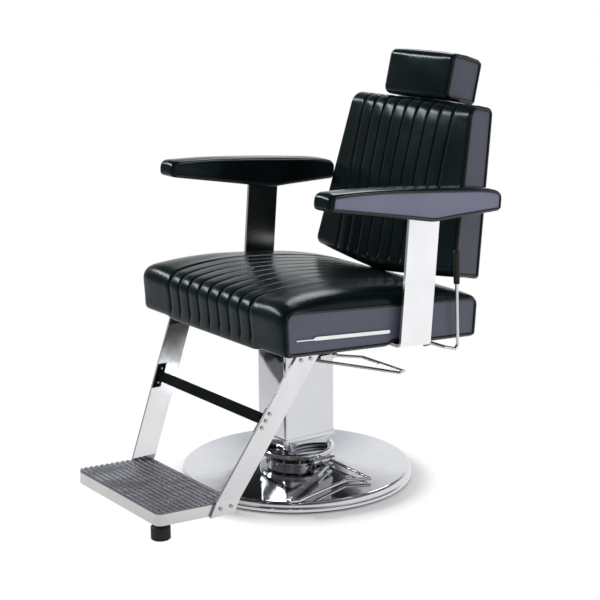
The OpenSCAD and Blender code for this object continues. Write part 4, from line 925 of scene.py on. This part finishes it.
def seat_lip(x, y):
    """How far the rim of the cover hangs below the seat board, clear of the arm straps."""
    front, rear = SEAT_FRONT, SEAT_REAR
    rim = max(smooth_step(abs(x), 262, 288), 1 - smooth_step(y, front + 10, front + 40), smooth_step(y, 280, 300))
    strap = smooth_step(y, 42, 60) * (1 - smooth_step(y, 155, 173)) * smooth_step(abs(x), 130, 150)
    middle = 6 * (1 - smooth_step(abs(x), 165, 205)) * (1 - smooth_step(y, front + 8, front + 40))
    return (4 + 8 * (rear - y) / (rear - front)) * rim * (1 - strap) + middle


def seat_share(x, y):
    """The share of the crown along the seat: the channels fall away to the front roll, the outer panels less."""
    peak = -30.5
    if y < peak:
        t = min(1, (peak - y) / (peak - SEAT_FRONT))
        return 1 - t ** 2.4 + 0.12 * t * t * smooth_step(abs(x), SEAM_LAST, 250)
    return 1 - min(1, (y - peak) / (SEAT_REAR - peak)) ** 2.96


def seat_seams(local):
    """How much of a seam each point of the seat gets: the seams end under the back and at the lower front."""
    y, h = local[:, 1], local[:, 2]
    return smooth_step(h, -6, 8) * smooth_step(285 - y, 0, 20)


class CHAIR_OT_back(bpy.types.Operator):
    """Makes the back's channelled cover, its side panels and its piping"""
    bl_idname = "chair.back"
    bl_label = "Back"

    def execute(self, context):
        sizes = context.scene.chair_sizes
        covers = upholstery(context.scene)
        top = BACK_HEIGHT
        front = even([(46, 0)] + arc(20, 20, 20, 270, 180, 5)
                     + arc(BACK_ROLL, top - BACK_ROLL, BACK_ROLL, 180, 90, 9) + [(44, top)], 90)
        rear = even([(46, 0)] + arc(88 - 7, 7, 7, -90, 0, 3) + arc(76 - 14, top - 14, 14, 0, 90, 4) + [(44, top)], 90)
        rise = sizes.channel_swell / MM

        def place(x, n, u, out):
            share = min(max(u / top, 0), 1)
            half = BACK_FOOT_HALF + (BACK_TOP_HALF - BACK_FOOT_HALF) * share
            side = abs(x)
            if side > SEAM_LAST:
                side = SEAM_LAST + (side - SEAM_LAST) * (half - SEAM_LAST) / (BACK_FOOT_HALF - SEAM_LAST)
            across = max(0.0, 1 - (side / half) ** 2)
            swell = BACK_CROWN * across * (0.6 + 0.4 * sin(pi * share)) * (1 - smooth_step(n, 0, 46))
            sag = (BACK_SAG * max(0.0, 1.04 - sqrt((side / half) ** 2 + 0.01)) ** 0.9
                   * max(0, 1 - u / 120) ** 2 * (1 - smooth_step(n, 10, 52)))
            deeper = 16 * across * smooth_step(u, top - 60, top) * (1 - smooth_step(n, 20, 40))
            deeper += 12 * (1 - smooth_step(side, 95, 125)) * smooth_step(u, top - 8, top) * smooth_step(n, 50, 60)
            sewn = back_seams(np.array([[x, n, u]]))[0]
            d = rise * sewn * (channel_rise(x) - 1) - side_rounding(x, BACK_FOOT_HALF, 7)
            return (side if x > 0 else -side, n + out[0] * d - swell + deeper * 0.5 * (n < 50),
                    u + out[1] * d - sag + deeper * 0.15)

        body = Bolster(front, rear, channel_stations(BACK_FOOT_HALF, outer=12), place, 10, BACK_POSE, 0.8)
        # The back's side panels take the darker copy of the panel vinyl: painted shade
        panel = covers["back_panel_painted_shade"]
        cover = body.make("back_cover", [covers["channelled_leather"], panel, panel])
        x, n, u = body.local.T
        on_seam = np.abs(x - near_seam(x)) < 0.5
        index, count = np.arange(len(x)), body.count * len(body.stations)
        edge = (index < 3 * body.count) | (index >= count - 3 * body.count)
        sewn = (on_seam & (back_seams(body.local) > 0.3)) | edge | (n > 60) | (u < 3)
        stuff(cover, sewn, sizes.stuffing, 4)
        subdivide(cover)
        sew_channels(cover, BACK_POSE, sizes.seam_depth, back_seams)
        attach(cover, "back")
        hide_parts("back_cushion", "back_shell")
        make_piping("back_piping", body, covers["piping"], sizes.piping_radius, "back")
        return {"FINISHED"}


def back_seams(local):
    """How much of a seam each point of the back gets: the seams run up the front and over the top."""
    n, u = local[:, 1], local[:, 2]
    return np.clip(smooth_step(u, 0, 14) * smooth_step(58 - n, 0, 12), 0, 1)


class CHAIR_OT_headrest(bpy.types.Operator):
    """Makes the headrest's cover and its piping"""
    bl_idname = "chair.headrest"
    bl_label = "Headrest"

    def execute(self, context):
        sizes = context.scene.chair_sizes
        covers = upholstery(context.scene)
        near, far, low, top = 10, 111, 407, 521
        start, end = [((near + far) / 2, low)], [((near + far) / 2, top + 1)]
        front = even(start + arc(near + 18, low + 18, 18, 270, 180, 5) + arc(near + 17, top - 17, 17, 180, 90, 7)
                     + end, 36)
        rear = even(start + arc(far - 9, low + 9, 9, -90, 0, 3) + [(far, (low + top) / 2)]
                    + arc(far - 14, top - 16, 14, 0, 90, 4) + end, 36)

        def place(x, n, u, out):
            free = 0 if u < low + 3 else 1
            d = 2 * free * (1 - (x / HEAD_HALF) ** 4) - side_rounding(x, HEAD_HALF, 8)
            return (x, n + out[0] * d, u + out[1] * d)

        half = HEAD_HALF
        inner = np.linspace(-(half - 8), half - 8, 37)
        edge = np.array([half - 5.5, half - 2.2, half])
        body = Bolster(front, rear, np.concatenate([-edge[::-1], inner, edge]), place, 12, BACK_POSE, 2.0)
        # The headrest's end panels take the same darker copy of the panel vinyl: painted shade
        panel = covers["back_panel_painted_shade"]
        cover = body.make("headrest_cover", [covers["leather"], panel, panel])
        x, u = body.local[:, 0], body.local[:, 2]
        count = body.count * len(body.stations)
        rim = (np.abs(np.abs(x) - half) < 3) & (np.arange(len(x)) < count)
        stuff(cover, rim | (u < low + 3), sizes.stuffing, 3)
        subdivide(cover)
        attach(cover, "headrest")
        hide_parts("headrest_cushion")
        make_piping("headrest_piping", body, covers["piping"], sizes.piping_radius, "headrest")
        return {"FINISHED"}


class CHAIR_OT_armrests(bpy.types.Operator):
    """Makes both padded armrests and their piping"""
    bl_idname = "chair.armrests"
    bl_label = "Armrests"

    def execute(self, context):
        for side, name in ((1, "left"), (-1, "right")):
            self.make_pad(context, side, name)
        return {"FINISHED"}

    def make_pad(self, context, side, name):
        sizes = context.scene.chair_sizes
        covers = upholstery(context.scene)
        front, rear, top, middle = -186, 316, 337, 115.5
        over = even([(rear, top - 16)] + arc(rear - 12, top - 15, 12, 0, 90, 4)
                    + arc(front + 14, top - 14, 14, 90, 180, 5) + [(front, top - 18)], 70)
        belly = [(middle + 60, top - 60), (middle + 8, top - 66), (middle - 8, top - 66), (middle - 60, top - 60)]
        under = even([(rear, top - 16)] + arc(rear - 7, top - 40, 7, 0, -90, 3) + belly
                     + arc(front + 9, top - 28, 9, 270, 180, 3) + [(front, top - 18)], 70)

        def place(x, y, h, n):
            along = min(max((y - front) / (rear - front), 0), 1)
            full = 1 - abs(2 * along - 1) ** (3 if along < 0.5 else 9)
            crown = (2.5 * (1 - (x / ARM_HALF) ** 2) + 11.5 * full) * max(0, n[1])
            d = -side_rounding(x, ARM_HALF, 7) * (1.7 if n[0] < -0.5 else 1)
            return (side * ARM_MIDDLE + x, y + n[0] * d, h + n[1] * d + crown)

        half = [6, 12, 18, 23, 26.5, 29.5, 31]
        stations = np.array([-x for x in half[::-1]] + [0] + half)
        body = Bolster(over, under, stations, place, 8, SEAT_POSE, 0.5)
        # The outer side panel gets the lighter vinyl, as painted light; the inner one gets the black leather, as
        # painted shade
        face, panel = covers["leather"], covers["arm_panel_painted_light"]
        cover = body.make("arm_cover_" + name, [face, *(panel, face)[::side]])
        h = body.local[:, 2]
        index = np.arange(len(h))
        rim = (index < body.count) | (index >= body.count * (len(stations) - 1))
        stuff(cover, rim | (h < top - 36), sizes.stuffing, 2)
        subdivide(cover)
        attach(cover, "seat")
        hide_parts("arm_pad_" + name)
        make_piping("arm_piping_" + name, body, covers["piping"], sizes.piping_radius * 0.8, "seat")


class CHAIR_OT_trims(bpy.types.Operator):
    """Makes the plain bright strips on the seat's side panels"""
    bl_idname = "chair.trims"
    bl_label = "Side strips"

    def execute(self, context):
        tint = context.scene.chair_colours.steel
        material = polished_steel("bright_strip", tint, (1.0, 0.05, 1.0), 0.12)
        outline = ([(-217, 14.2), (-172, 14.2), (-164, 13)] + arc(41.5, 17.5, 4.5, -90, 90, 8)
                   + [(-164, 22), (-172, 16.8), (-217, 16.8)])
        layers = [(298.8, 0.0), (299.8, 0.0), (300.3, 0.5)]
        middle = np.mean(outline, 0)[1]
        for side, name in ((1, "left"), (-1, "right")):
            points = [(side * x, y + (inset if y < -200 else -inset if y > 40 else 0),
                       h + inset * (1 if h < middle else -1) * 0.8) for x, inset in layers for y, h in outline]
            rings = len(layers), len(outline)
            faces = [face[::side] for face in bands(*rings) + lids(*rings)]
            strip = make_mesh("side_strip_" + name, posed(SEAT_POSE, points), faces, [material])
            strip.data.polygons.foreach_set("use_smooth", [False] * len(strip.data.polygons))
            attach(strip, "seat")
            if side > 0:
                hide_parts("side_trims")
        return {"FINISHED"}


class CHAIR_OT_grips(bpy.types.Operator):
    """Makes the recline lever's grip and the pump pedal's ribbed sleeve"""
    bl_idname = "chair.grips"
    bl_label = "Grips"

    def execute(self, context):
        material = moulded_rubber("grip_rubber", (0.009, 0.009, 0.010, 1))
        profile = [(0, 5.2), (0.8, 6.6), (2.5, 7.2), (5, 7.2), (5.8, 6.6), (6.6, 7.2)]
        profile += [(10 + 6 * i, 7.3 + 0.7 * i / 10) for i in range(11)]
        profile += [(74 + 8 * sin(a), 8 * cos(a)) for a in np.linspace(0.1, 1.45, 8)]
        grip = lathe("lever_grip_cover", (312, 235, 500), (0, -0.0349, 0.9994), profile, material)
        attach(grip, "lever")
        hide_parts("lever_grip")
        rear, front = np.array((149, -45, 47.0)), np.array((216, -175, 40.0))
        start = rear + 0.06 * (front - rear)
        length = 0.88 * np.linalg.norm(front - rear)
        profile = [(0, 4.6), (0.6, 6.2), (2, 6.8)]
        at = 4.0
        while at < length - 5:
            profile += [(at, 6.9), (at + 0.8, 6.1), (at + 2.0, 6.1), (at + 2.8, 6.9)]
            at += 5.2
        profile += [(length - 2, 6.8), (length - 0.6, 6.2), (length, 4.6)]
        material = moulded_rubber("sleeve_rubber", (0.16, 0.165, 0.18, 1))
        sleeve = lathe("pedal_sleeve_cover", start, front - rear, profile, material)
        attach(sleeve, "pedal")
        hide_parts("pedal_sleeve")
        return {"FINISHED"}


class CHAIR_PT_panel(bpy.types.Panel):
    """Lists the chair's pieces in the sidebar"""
    bl_label = "Barber Chair"
    bl_space_type = "VIEW_3D"
    bl_region_type = "UI"
    bl_category = "Chair"

    def draw(self, context):
        for group in (context.scene.chair_sizes, context.scene.chair_colours, context.scene.chair_studio):
            box = self.layout.box()
            for name in group.__annotations__:
                box.prop(group, name)
        for operator in OPERATORS:
            self.layout.operator(operator.bl_idname)


OPERATORS = (CHAIR_OT_stage, CHAIR_OT_metalwork, CHAIR_OT_seat, CHAIR_OT_back, CHAIR_OT_headrest,
             CHAIR_OT_armrests, CHAIR_OT_trims, CHAIR_OT_grips)
CLASSES = (ChairSizes, ChairColours, StudioSettings, *OPERATORS, CHAIR_PT_panel)


def register():
    for cls in CLASSES:
        bpy.utils.register_class(cls)
    bpy.types.Scene.chair_sizes = PointerProperty(type=ChairSizes)
    bpy.types.Scene.chair_colours = PointerProperty(type=ChairColours)
    bpy.types.Scene.chair_studio = PointerProperty(type=StudioSettings)


def unregister():
    for name in ("chair_sizes", "chair_colours", "chair_studio"):
        delattr(bpy.types.Scene, name)
    for cls in reversed(CLASSES):
        bpy.utils.unregister_class(cls)


def main():
    """Makes every piece."""
    register()
    for operator in OPERATORS:
        group, name = operator.bl_idname.split(".")
        getattr(getattr(bpy.ops, group), name)()


if __name__ == "__main__":
    main()
